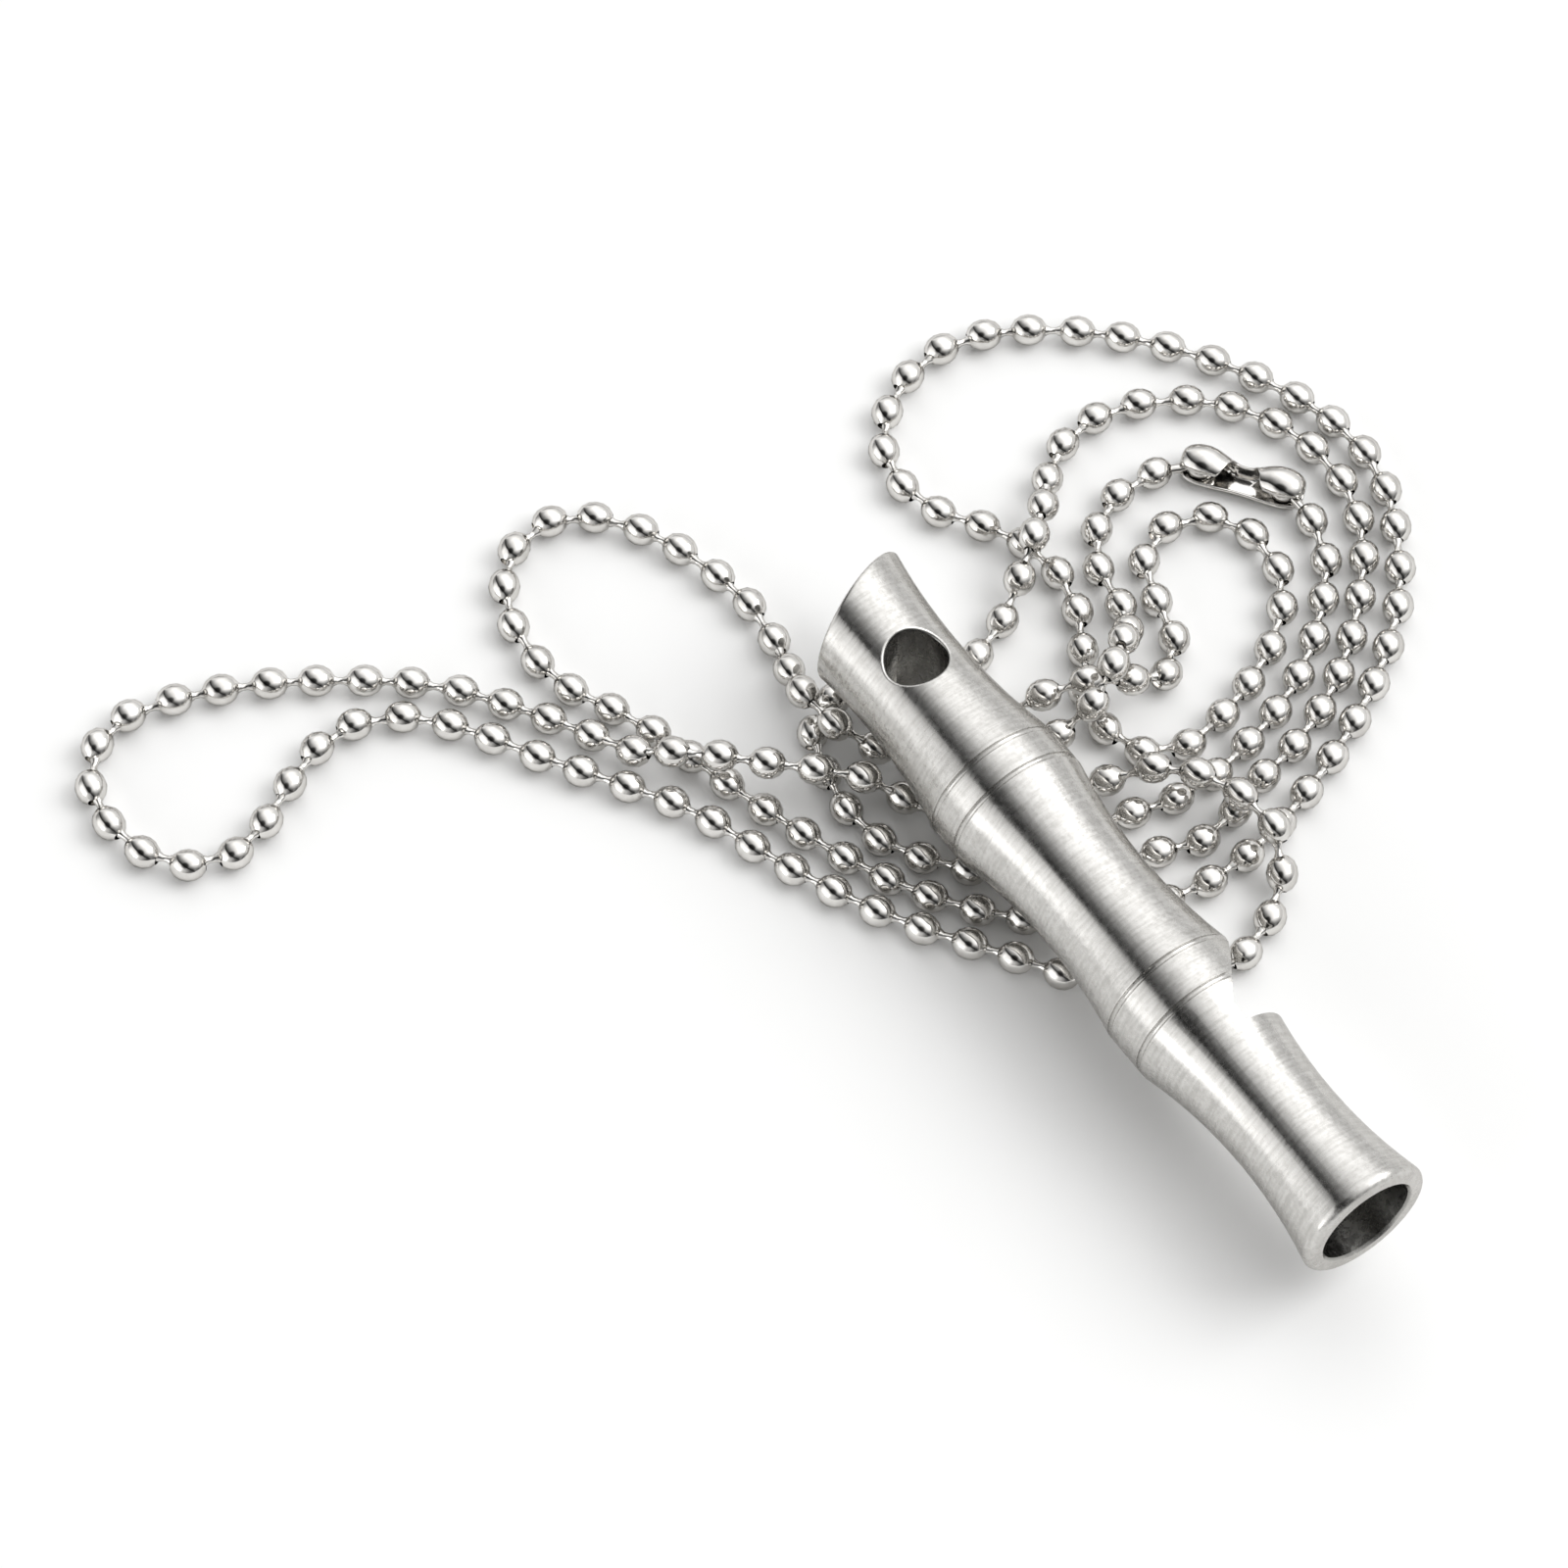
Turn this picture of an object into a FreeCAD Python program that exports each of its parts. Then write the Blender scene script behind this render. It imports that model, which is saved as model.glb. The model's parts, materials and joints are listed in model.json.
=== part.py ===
import FreeCAD, Part
import math
import os
import Sketcher
from FreeCAD import Placement, Rotation, Vector

# A turned steel pocket whistle, shaped like a length of bamboo, lying on the loose
# loops of its ball chain.  Millimetres.  +X runs along the whistle to its mouth end,
# +Z is up, the floor is z = 0 and X = 0 is half way along the whistle.

# ---------------------------------------------------------------- driving sizes
SIZES = {
    # Whistle: places along it are measured from the mouth end.
    "body_length": 60.9,          # to the slanted top end, on the axis
    "bore_radius": 3.7,
    "bore_depth": 46.0,           # to where the drill point starts
    "drill_point": 2.2,
    "rim_wall": 1.6,              # wall round the mouth
    "first_waist_wall": 0.45,     # wall at the thinnest place of each waist
    "second_waist_wall": 0.86,
    "third_waist_wall": 0.83,
    "lower_node_wall": 1.68,
    "upper_node_wall": 1.85,
    "lower_node_start": 19.0,
    "lower_node_width": 4.0,
    "upper_node_start": 40.6,
    "upper_node_width": 3.2,
    "ring_inset": 0.3,            # ring grooves stand this far inside a node's ends
    "ring_radius": 0.24,
    "mouth_round": 0.6,
    "mouth_chamfer": 0.2,
    "top_slant": 21.8,            # degrees from square
    "top_round": 0.25,
    # Windway plug and window.
    "plug_recess": 5.0,
    "plug_length": 10.85,
    "plug_flat": 2.6,             # axis to the flat on top of the plug
    "window_floor": 1.2,          # axis to the sides of the window
    "window_land": 1.55,          # level part before the ramp
    "ramp_angle": 35.0,
    # Lanyard hole, through the solid top end.
    "lanyard_radius": 2.3,
    "lanyard_place": 53.4,
    "lanyard_round": 0.2,
    # How the whistle lies.
    "mouth_reach": 31.5,
    "whistle_side": -16.0,
    "rest_gap": 0.2,
    # Ball chain.
    "chain_radius": 1.2,
    "bead_wall": 0.22,
    "bead_hole": 0.45,
    "link_radius": 0.34,
    "link_head": 0.6,
    "link_head_place": 0.12,      # inside the bead, from its middle
    "link_reach": 2.3,            # bead middle to the chain's first bead
    # Folded connector.
    "bead_spacing": 6.5,
    "sheet_wall": 0.3,
    "dome_gap": 0.1,              # bead to the inside of its dome
    "channel_half_width": 1.75,
    "channel_height": 1.1,
    "waist_radius": 0.95,
    "slot_half_width": 0.5,
    "connector_x": -26.2,
    "connector_y": 17.3,
    "connector_turn": 35.8,
    "left_heading": 245.0,
    "right_heading": 0.0,
    "chain_lead": 4.9,            # bead middle to the chain's first bend
}

# The chain's route, from the connector's left end round to its right end.  Points
# without a height lie on the floor; where the chain climbs over itself two points
# hold it up, one on each side of the crossing.
CHAIN_ROUTE = [
    (-29.6, 6.4), (-26.6, 3.6), (-22.4, 3.3), (-19.6, 1.9, 2.2),
    (-17.3, -0.8, 6.6), (-15.3, -3.3, 6.8), (-14.7, -6.4, 3.4), (-16.4, -9.8),
    (-19.2, -13.3), (-24.0, -15.2), (-27.6, -17.2), (-28.4, -20.2),
    (-25.6, -22.6), (-21.6, -23.2), (-18.2, -23.8), (-14.2, -22.2),
    (-10.2, -19.0), (-6.8, -15.6), (-5.2, -11.6), (-4.4, -7.9),
    (-2.6, -5.6), (-3.0, -1.6), (-4.6, 2.6), (-5.4, 7.2),
    (-8.2, 12.8), (-12.2, 17.6), (-16.6, 21.5), (-21.5, 23.4),
    (-27.2, 23.0), (-32.4, 20.2), (-35.8, 15.8), (-37.2, 10.2),
    (-35.4, 6.2), (-33.2, 4.2, 1.6), (-31.0, 2.2, 3.8), (-28.9, -0.6, 3.8),
    (-27.2, -3.2, 1.4), (-25.8, -5.6), (-24.9, -8.4), (-23.3, -10.8), (-20.6, -10.8),
    (-19.0, -8.6), (-18.4, -5.6, 3.9), (-15.8, -1.6, 3.9), (-15.3, 1.9),
    (-16.4, 4.3), (-20.4, 5.4), (-24.2, 6.2), (-26.2, 9.2),
    (-25.4, 13.0), (-21.8, 15.1), (-17.4, 14.6), (-13.8, 11.4),
    (-11.5, 7.0), (-10.2, 3.0), (-9.6, -0.6), (-11.6, -3.9),
    (-15.2, -4.3), (-18.6, -3.4), (-21.4, -0.9), (-24.6, 0.7),
    (-28.6, 1.2), (-32.6, 0.0), (-36.2, -2.9), (-40.0, -4.1),
    (-44.6, -3.0), (-47.8, 1.2), (-48.8, 6.2), (-46.8, 11.4),
    (-43.0, 16.2), (-38.4, 20.2), (-33.2, 23.4), (-27.4, 25.8),
    (-21.2, 26.3), (-15.2, 23.6), (-10.2, 19.8), (-6.4, 14.8),
    (-3.5, 9.4), (-1.4, 4.0), (0.1, -1.4), (0.4, -5.6),
    (-0.4, -10.2), (-1.8, -14.8), (-5.2, -18.8), (-9.2, -22.2),
    (-14.0, -25.0), (-19.4, -27.1), (-24.8, -28.9), (-30.2, -30.2),
    (-35.4, -31.8), (-40.0, -34.4), (-45.4, -34.9), (-50.4, -33.2),
    (-53.4, -29.2), (-52.2, -24.8), (-48.2, -21.6), (-42.8, -19.7),
    (-37.2, -18.9), (-32.6, -19.9), (-29.2, -21.3, 3.8), (-25.8, -21.3, 3.8),
    (-22.6, -18.8), (-18.9, -16.5), (-15.0, -13.7), (-12.4, -10.2),
    (-11.0, -7.6), (-9.2, -4.4, 3.4), (-6.8, -2.2, 3.9), (-3.4, -0.4, 3.9),
    (1.2, 0.1, 3.9), (3.9, -1.9), (6.2, -5.6), (7.0, -9.8),
    (5.2, -14.0), (1.8, -18.0), (-3.4, -21.2), (-8.2, -24.8),
    (-14.0, -28.0), (-20.2, -30.6), (-26.2, -32.5), (-31.4, -35.9),
    (-36.8, -39.5), (-42.0, -42.4), (-46.2, -46.4), (-46.9, -51.4),
    (-44.5, -56.4), (-41.9, -61.0), (-43.6, -66.0), (-49.0, -68.2),
    (-54.8, -67.0), (-57.2, -62.4), (-55.6, -57.0), (-53.2, -51.8),
    (-49.8, -46.6), (-45.8, -41.6), (-40.8, -38.1), (-36.0, -35.1),
    (-32.8, -33.9, 1.6), (-29.7, -31.7, 3.9), (-26.6, -28.3, 3.9), (-23.6, -25.3, 3.6),
    (-20.8, -22.1, 3.9), (-18.2, -19.6, 1.3), (-14.6, -18.2), (-11.2, -15.8),
    (-9.0, -12.0), (-8.0, -8.0), (-6.7, -4.4), (-6.5, -0.2),
    (-7.7, 4.7), (-9.1, 9.0), (-11.9, 13.3), (-15.4, 17.0),
]

BEND_SHARE = 0.45                 # of the shorter run beside a bend
NEAR = 0.01
FAULTS = ("Invalid", "Error")

doc = FreeCAD.newDocument("PocketWhistle")
sizes = doc.addObject("Spreadsheet::Sheet", "sizes")
for row, (alias, number) in enumerate(SIZES.items(), start=1):
    sizes.set("A%d" % row, alias)
    sizes.set("B%d" % row, str(number))
    sizes.setAlias("B%d" % row, alias)
doc.recompute()


def value(expression):
    """The number that an expression on the sheet comes to."""
    result = sizes.evalExpression(expression)
    return float(getattr(result, "Value", result))


# ------------------------------------------------------------------ sketch tools
def new_body(name):
    body = doc.addObject("PartDesign::Body", name)
    body.Label = name
    return body


def plane_sketch(body, name, plane):
    """An empty sketch on one of the body's own planes."""
    sketch = body.newObject("Sketcher::SketchObject", name)
    support = [f for f in body.Origin.OriginFeatures if f.Name.startswith(plane)][0]
    sketch.AttachmentSupport = (support, "")
    sketch.MapMode = "FlatFace"
    return sketch


def bind(sketch, kind, first, expression):
    """Add one dimension to a sketch and bind it to an expression."""
    index = sketch.addConstraint(Sketcher.Constraint(kind, *first, value(expression)))
    sketch.setExpression("Constraints[%d]" % index, expression)


def draw_outline(sketch, corners, curves=None):
    """Draw a closed outline from corners given as pairs of expressions.

    curves maps the number of an edge to the expression for its radius; such an edge
    is an arc that dips towards the sketch's X axis.
    """
    curves = curves or {}
    places = [Vector(value(x), value(y), 0) for x, y in corners]
    count = len(places)
    for edge in range(count):
        start, end = places[edge], places[(edge + 1) % count]
        if edge in curves:
            sketch.addGeometry(dipped_arc(start, end, value(curves[edge])))
        else:
            sketch.addGeometry(Part.LineSegment(start, end))
    for edge in range(count):
        sketch.addConstraint(
            Sketcher.Constraint("Coincident", edge, 2, (edge + 1) % count, 1)
        )
    for edge, (x, y) in enumerate(corners):
        bind(sketch, "DistanceX", (-1, 1, edge, 1), x)
        bind(sketch, "DistanceY", (-1, 1, edge, 1), y)
    for edge, radius in curves.items():
        bind(sketch, "Radius", (edge,), radius)


def dipped_arc(start, end, radius):
    """The arc of one radius from start to end that dips below its chord."""
    middle = (start + end) * 0.5
    half = (end - start).Length / 2
    down = Vector((end - start).y, -(end - start).x, 0).normalize()
    sag = radius - math.sqrt(radius * radius - half * half)
    return Part.Arc(start, middle + down * sag, end)


def turned(body, name, sketch, kind="PartDesign::Revolution"):
    feature = body.newObject(kind, name)
    feature.Profile = sketch
    feature.ReferenceAxis = (sketch, ["H_Axis"])
    feature.Angle = 360
    return feature


def cut_through(body, name, sketch):
    """A pocket through the whole body, both ways from its sketch."""
    pocket = body.newObject("PartDesign::Pocket", name)
    pocket.Profile = sketch
    pocket.Type = "ThroughAll"
    pocket.Midplane = True
    return pocket


def round_edges(body, name, base, radius, test):
    """Round the edges of the base feature whose points all pass a test."""
    doc.recompute()
    names = [
        "Edge%d" % (index + 1)
        for index, edge in enumerate(base.Shape.Edges)
        if every_point(edge, test)
    ]
    fillet = body.newObject("PartDesign::Fillet", name)
    fillet.Base = (base, names)
    fillet.setExpression("Radius", radius)
    return fillet


# -------------------------------------------------------------------- whistle
def wall_radius(wall):
    return "(sizes.bore_radius + sizes.%s)" % wall


def waist_curve(start, end, first_wall, last_wall, waist_wall):
    """The radius of the arc that dips to a waist between two thick places."""
    half = "((%s - %s) / 2)" % (end, start)
    sag = "((sizes.%s + sizes.%s) / 2 - sizes.%s)" % (first_wall, last_wall, waist_wall)
    return "(%s * %s + %s * %s) / (2 * %s)" % (half, half, sag, sag, sag)


LOWER_START = "sizes.lower_node_start"
LOWER_END = "(sizes.lower_node_start + sizes.lower_node_width)"
UPPER_START = "sizes.upper_node_start"
UPPER_END = "(sizes.upper_node_start + sizes.upper_node_width)"
TALLEST = wall_radius("upper_node_wall")
TOP_BLANK = "(sizes.body_length + %s * tan(sizes.top_slant * 1 deg) + 1)" % TALLEST
SHOULDER = "(sizes.plug_recess + sizes.plug_length)"
OUTSIDE = "(%s + 1.5)" % TALLEST


def whistle_outline(body):
    sketch = plane_sketch(body, "outline", "XY_Plane")
    corners = [
        ("0", "0"),
        ("0", wall_radius("rim_wall")),
        (LOWER_START, wall_radius("lower_node_wall")),
        (LOWER_END, wall_radius("lower_node_wall")),
        (UPPER_START, wall_radius("upper_node_wall")),
        (UPPER_END, wall_radius("upper_node_wall")),
        (TOP_BLANK, wall_radius("upper_node_wall")),
        (TOP_BLANK, "0"),
    ]
    curves = {
        1: waist_curve("0", LOWER_START, "rim_wall", "lower_node_wall", "first_waist_wall"),
        3: waist_curve(LOWER_END, UPPER_START, "lower_node_wall", "upper_node_wall",
                       "second_waist_wall"),
        5: waist_curve(UPPER_END, TOP_BLANK, "upper_node_wall", "upper_node_wall",
                       "third_waist_wall"),
    }
    draw_outline(sketch, corners, curves)
    return turned(body, "turned_blank", sketch)


def whistle_bore(body):
    sketch = plane_sketch(body, "bore_outline", "XY_Plane")
    corners = [
        ("-1", "0"),
        ("-1", "sizes.bore_radius + sizes.mouth_chamfer + 1"),
        ("sizes.mouth_chamfer", "sizes.bore_radius"),
        ("sizes.bore_depth", "sizes.bore_radius"),
        ("sizes.bore_depth + sizes.drill_point", "0"),
    ]
    draw_outline(sketch, corners)
    return turned(body, "bore", sketch, "PartDesign::Groove")


def whistle_rings(body):
    """The four fine grooves that frame the two bamboo nodes."""
    sketch = plane_sketch(body, "ring_outline", "XY_Plane")
    rings = [
        (LOWER_START + " + sizes.ring_inset", "lower_node_wall"),
        (LOWER_END + " - sizes.ring_inset", "lower_node_wall"),
        (UPPER_START + " + sizes.ring_inset", "upper_node_wall"),
        (UPPER_END + " - sizes.ring_inset", "upper_node_wall"),
    ]
    for number, (place, wall) in enumerate(rings):
        middle = Vector(value(place), value(wall_radius(wall)), 0)
        sketch.addGeometry(Part.Circle(middle, Vector(0, 0, 1), value("sizes.ring_radius")))
        bind(sketch, "DistanceX", (-1, 1, number, 3), place)
        bind(sketch, "DistanceY", (-1, 1, number, 3), wall_radius(wall))
        bind(sketch, "Radius", (number,), "sizes.ring_radius")
    return turned(body, "ring_grooves", sketch, "PartDesign::Groove")


def whistle_window(body):
    """The sound window: a square shoulder, a level land and the ramp to the lip."""
    sketch = plane_sketch(body, "window_outline", "XY_Plane")
    land_end = "(%s + sizes.window_land)" % SHOULDER
    ramp_run = "(%s - sizes.window_floor) / tan(sizes.ramp_angle * 1 deg)" % OUTSIDE
    corners = [
        (SHOULDER, "sizes.window_floor"),
        (land_end, "sizes.window_floor"),
        (land_end + " + " + ramp_run, OUTSIDE),
        (SHOULDER, OUTSIDE),
    ]
    draw_outline(sketch, corners)
    return cut_through(body, "window", sketch)


def whistle_top(body):
    """The slanted top end."""
    sketch = plane_sketch(body, "slant_outline", "XY_Plane")
    lean = "%s * tan(sizes.top_slant * 1 deg)" % OUTSIDE
    corners = [
        ("sizes.body_length - " + lean, "-" + OUTSIDE),
        ("sizes.body_length + 4 * %s" % OUTSIDE, "-" + OUTSIDE),
        ("sizes.body_length + 4 * %s" % OUTSIDE, OUTSIDE),
        ("sizes.body_length + " + lean, OUTSIDE),
    ]
    draw_outline(sketch, corners)
    return cut_through(body, "slanted_top", sketch)


def whistle_lanyard_hole(body):
    sketch = plane_sketch(body, "lanyard_outline", "XY_Plane")
    middle = Vector(value("sizes.lanyard_place"), 0, 0)
    sketch.addGeometry(Part.Circle(middle, Vector(0, 0, 1), value("sizes.lanyard_radius")))
    bind(sketch, "DistanceX", (-1, 1, 0, 3), "sizes.lanyard_place")
    bind(sketch, "DistanceY", (-1, 1, 0, 3), "0")
    bind(sketch, "Radius", (0,), "sizes.lanyard_radius")
    return cut_through(body, "lanyard_hole", sketch)


def every_point(edge, test):
    """Whether every sampled point of an edge passes a test."""
    return edge.Length > 1 and all(test(point) for point in edge.discretize(9))


def make_whistle_body():
    body = new_body("whistle_body")
    whistle_outline(body)
    whistle_bore(body)
    whistle_rings(body)
    whistle_top(body)
    hole = whistle_lanyard_hole(body)
    rim = value(wall_radius("rim_wall"))
    slant = math.tan(math.radians(value("sizes.top_slant")))
    top = value("sizes.body_length")
    place = value("sizes.lanyard_place")
    radius = value("sizes.lanyard_radius")

    def on_rim(point):
        return abs(point.x) < NEAR and math.hypot(point.y, point.z) > rim - NEAR

    def on_slant(point):
        return abs(point.x - top - slant * point.y) < NEAR

    def on_hole(point):
        off = math.hypot(point.x - place, point.y) - radius
        return abs(off) < NEAR and abs(point.z) > radius

    rounded = round_edges(body, "mouth_rounding", hole, "sizes.mouth_round", on_rim)
    rounded = round_edges(body, "top_rounding", rounded, "sizes.top_round", on_slant)
    round_edges(body, "hole_rounding", rounded, "sizes.lanyard_round", on_hole)
    whistle_window(body)
    return body


def make_windway_plug():
    """The plug in the mouth: a round rod with the windway's flat on top."""
    body = new_body("windway_plug")
    sketch = plane_sketch(body, "plug_outline", "YZ_Plane")
    radius, flat = value("sizes.bore_radius"), value("sizes.plug_flat")
    half = math.sqrt(radius * radius - flat * flat)
    left, right = Vector(flat, -half, 0), Vector(flat, half, 0)
    sketch.addGeometry(Part.Arc(right, Vector(-radius, 0, 0), left))
    sketch.addGeometry(Part.LineSegment(left, right))
    sketch.addConstraint(Sketcher.Constraint("Coincident", 0, 2, 1, 1))
    sketch.addConstraint(Sketcher.Constraint("Coincident", 1, 2, 0, 1))
    sketch.addConstraint(Sketcher.Constraint("Coincident", 0, 3, -1, 1))
    sketch.addConstraint(Sketcher.Constraint("Vertical", 1))
    bind(sketch, "Radius", (0,), "sizes.bore_radius")
    bind(sketch, "DistanceX", (-1, 1, 1, 1), "sizes.plug_flat")
    pad = body.newObject("PartDesign::Pad", "plug_length")
    pad.Profile = sketch
    pad.setExpression("Length", "sizes.plug_length")
    return body


def lay_whistle(body, offset):
    """Set a whistle sub-part in place; its own X runs from the mouth to the top."""
    body.Placement = Placement(Vector(0, 0, 0), Rotation(Vector(0, 1, 0), 180))
    body.setExpression(".Placement.Base.x", "sizes.mouth_reach - " + offset)
    body.setExpression(".Placement.Base.y", "sizes.whistle_side")
    body.setExpression(
        ".Placement.Base.z", "2 * sizes.chain_radius + sizes.rest_gap + " + TALLEST
    )


# ------------------------------------------------------------- chain fittings
def solid(kind, name, **bound):
    """A Part primitive whose properties are bound to expressions."""
    primitive = doc.addObject("Part::" + kind, name)
    for prop, expression in bound.items():
        primitive.setExpression(prop, expression)
    return primitive


def at(primitive, x="0", y="0", z="0", turn=None, axis=Vector(0, 0, 1)):
    """Place a primitive by expressions, after turning it about an axis."""
    if turn is not None:
        primitive.Placement = Placement(Vector(0, 0, 0), Rotation(axis, turn))
    for letter, expression in zip("xyz", (x, y, z)):
        primitive.setExpression(".Placement.Base." + letter, expression)
    return primitive


def fused(name, *pieces):
    fuse = doc.addObject("Part::MultiFuse", name)
    fuse.Shapes = list(pieces)
    return fuse


def difference(name, base, tool):
    cut = doc.addObject("Part::Cut", name)
    cut.Base = base
    cut.Tool = tool
    return cut


def stadium(name, half_width, height, bottom):
    """A round-ended slab under both beads, with its parts fused."""
    spacing = "sizes.bead_spacing"
    slab = at(
        solid("Box", name + "_slab", Length=spacing, Width="2 * " + half_width, Height=height),
        "-%s / 2" % spacing, "-" + half_width, bottom,
    )
    ends = [
        at(
            solid("Cylinder", name + "_end_" + side, Radius=half_width, Height=height),
            sign + spacing + " / 2", "0", bottom,
        )
        for side, sign in (("left", "-"), ("right", ""))
    ]
    return fused(name, slab, *ends)


def domes(name, radius):
    """Two balls over the beads and the folded waist between them."""
    balls = [
        at(
            solid("Sphere", name + "_ball_" + side, Radius=radius),
            sign + "sizes.bead_spacing / 2", "0", "sizes.chain_radius",
        )
        for side, sign in (("left", "-"), ("right", ""))
    ]
    return balls


def waist(name, radius):
    """The half-round fold that joins the two domes."""
    rod = solid("Cylinder", name, Radius=radius, Height="sizes.bead_spacing")
    return at(
        rod, "-sizes.bead_spacing / 2", "0", "sizes.channel_height - sizes.sheet_wall",
        turn=90, axis=Vector(0, 1, 0),
    )


def link_slot(side, sign, heading):
    """The opening in the connector's end, in line with the link that leaves it."""
    box = solid(
        "Box", "slot_" + side,
        Length="2 * sizes.link_reach",
        Width="2 * sizes.slot_half_width",
        Height="sizes.chain_radius + sizes.slot_half_width + 1",
    )
    turn = Rotation(Vector(0, 0, 1), value(heading + " - sizes.connector_turn"))
    middle = Vector(value(sign + "sizes.bead_spacing / 2"), 0, -1)
    corner = turn.multVec(Vector(0, -value("sizes.slot_half_width"), 0))
    box.Placement = Placement(middle + corner, turn)
    return box


def make_connector():
    """The folded sheet connector that snaps over the chain's two end beads."""
    inner_radius = "(sizes.chain_radius + sizes.dome_gap)"
    outer = fused(
        "connector_outside",
        stadium("channel_outside", "sizes.channel_half_width", "sizes.channel_height", "0"),
        *domes("dome_outside", inner_radius + " + sizes.sheet_wall"),
        waist("waist_outside", "sizes.waist_radius"),
    )
    below = at(
        solid(
            "Box", "under_floor",
            Length="4 * sizes.bead_spacing", Width="4 * sizes.bead_spacing", Height="4",
        ),
        "-2 * sizes.bead_spacing", "-2 * sizes.bead_spacing", "-4",
    )
    inner = fused(
        "connector_inside",
        stadium(
            "channel_inside", "(sizes.channel_half_width - sizes.sheet_wall)",
            "sizes.channel_height - sizes.sheet_wall + 1", "-1",
        ),
        *domes("dome_inside", inner_radius),
        waist("waist_inside", "sizes.waist_radius - sizes.sheet_wall"),
        link_slot("left", "-", "sizes.left_heading"),
        link_slot("right", "", "sizes.right_heading"),
        below,
    )
    connector = difference("chain_connector", outer, inner)
    connector.Label = "chain_connector"
    connector.Placement = Placement(
        Vector(0, 0, 0), Rotation(Vector(0, 0, 1), value("sizes.connector_turn"))
    )
    connector.setExpression(".Placement.Base.x", "sizes.connector_x")
    connector.setExpression(".Placement.Base.y", "sizes.connector_y")
    return connector


def bead_middle(sign):
    """Where the end bead on one side of the connector sits."""
    turn = math.radians(value("sizes.connector_turn"))
    half = sign * value("sizes.bead_spacing") / 2
    return Vector(
        value("sizes.connector_x") + half * math.cos(turn),
        value("sizes.connector_y") + half * math.sin(turn),
        value("sizes.chain_radius"),
    )


def lay_on_link(body, sign, heading):
    """Set a turned fitting on the line of the link that leaves one end bead."""
    body.Placement = Placement(
        bead_middle(sign), Rotation(Vector(0, 0, 1), value(heading))
    )


def make_end_bead(side, sign, heading):
    """A hollow ball with the two holes that its links pass through."""
    body = new_body("end_bead_" + side)
    sketch = plane_sketch(body, "bead_outline_" + side, "XY_Plane")
    hole = value("sizes.bead_hole")
    axis = Vector(0, 0, 1)
    skins = ["sizes.chain_radius", "sizes.chain_radius - sizes.bead_wall"]
    for radius in skins:
        start = math.asin(hole / value(radius))
        circle = Part.Circle(Vector(0, 0, 0), axis, value(radius))
        sketch.addGeometry(Part.ArcOfCircle(circle, start, math.pi - start))
    for end in (1, 2):
        outer, inner = (sketch.getPoint(skin, end) for skin in (0, 1))
        sketch.addGeometry(Part.LineSegment(outer, inner))
        line = end + 1
        sketch.addConstraint(Sketcher.Constraint("Coincident", 0, end, line, 1))
        sketch.addConstraint(Sketcher.Constraint("Coincident", 1, end, line, 2))
        sketch.addConstraint(Sketcher.Constraint("Horizontal", line))
        bind(sketch, "DistanceY", (-1, 1, line, 1), "sizes.bead_hole")
    for skin, radius in enumerate(skins):
        sketch.addConstraint(Sketcher.Constraint("Coincident", skin, 3, -1, 1))
        bind(sketch, "Radius", (skin,), radius)
    turned(body, "hollow_ball_" + side, sketch)
    lay_on_link(body, sign, heading)
    return body


def make_end_link(side, sign, heading):
    """The dumbbell link from an end bead to the chain: a round head and its pin."""
    body = new_body("end_link_" + side)
    sketch = plane_sketch(body, "link_outline_" + side, "XY_Plane")
    head, pin = value("sizes.link_head"), value("sizes.link_radius")
    middle, reach = value("sizes.link_head_place"), value("sizes.link_reach")
    neck = middle + math.sqrt(head * head - pin * pin)
    circle = Part.Circle(Vector(middle, 0, 0), Vector(0, 0, 1), head)
    sketch.addGeometry(Part.ArcOfCircle(circle, math.asin(pin / head), math.pi))
    corners = [
        Vector(middle - head, 0, 0), Vector(reach, 0, 0),
        Vector(reach, pin, 0), Vector(neck, pin, 0),
    ]
    for start, end in zip(corners, corners[1:]):
        sketch.addGeometry(Part.LineSegment(start, end))
    for edge in range(4):
        sketch.addConstraint(
            Sketcher.Constraint("Coincident", edge, 2, (edge + 1) % 4, 1)
        )
    sketch.addConstraint(Sketcher.Constraint("PointOnObject", 0, 3, -1))
    sketch.addConstraint(Sketcher.Constraint("PointOnObject", 1, 1, -1))
    sketch.addConstraint(Sketcher.Constraint("Horizontal", 1))
    sketch.addConstraint(Sketcher.Constraint("Vertical", 2))
    sketch.addConstraint(Sketcher.Constraint("Horizontal", 3))
    bind(sketch, "DistanceX", (-1, 1, 0, 3), "sizes.link_head_place")
    bind(sketch, "DistanceX", (-1, 1, 1, 2), "sizes.link_reach")
    bind(sketch, "Radius", (0,), "sizes.link_head")
    bind(sketch, "DistanceY", (-1, 1, 2, 2), "sizes.link_radius")
    turned(body, "head_and_pin_" + side, sketch)
    lay_on_link(body, sign, heading)
    return body


# ------------------------------------------------------------------ ball chain
def route_points():
    """Every bend of the chain, with its two straight leads out of the connector."""
    lying = value("sizes.chain_radius")
    points = [
        Vector(p[0], p[1], p[2] if len(p) > 2 else lying) for p in CHAIN_ROUTE
    ]
    reach, lead = value("sizes.link_reach"), value("sizes.chain_lead")

    def leaving(sign, heading, distance):
        turn = math.radians(value(heading))
        return bead_middle(sign) + Vector(math.cos(turn), math.sin(turn), 0) * distance

    start = [leaving(-1, "sizes.left_heading", far) for far in (reach, lead)]
    end = [leaving(1, "sizes.right_heading", far) for far in (lead, reach)]
    return start + points + end


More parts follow.
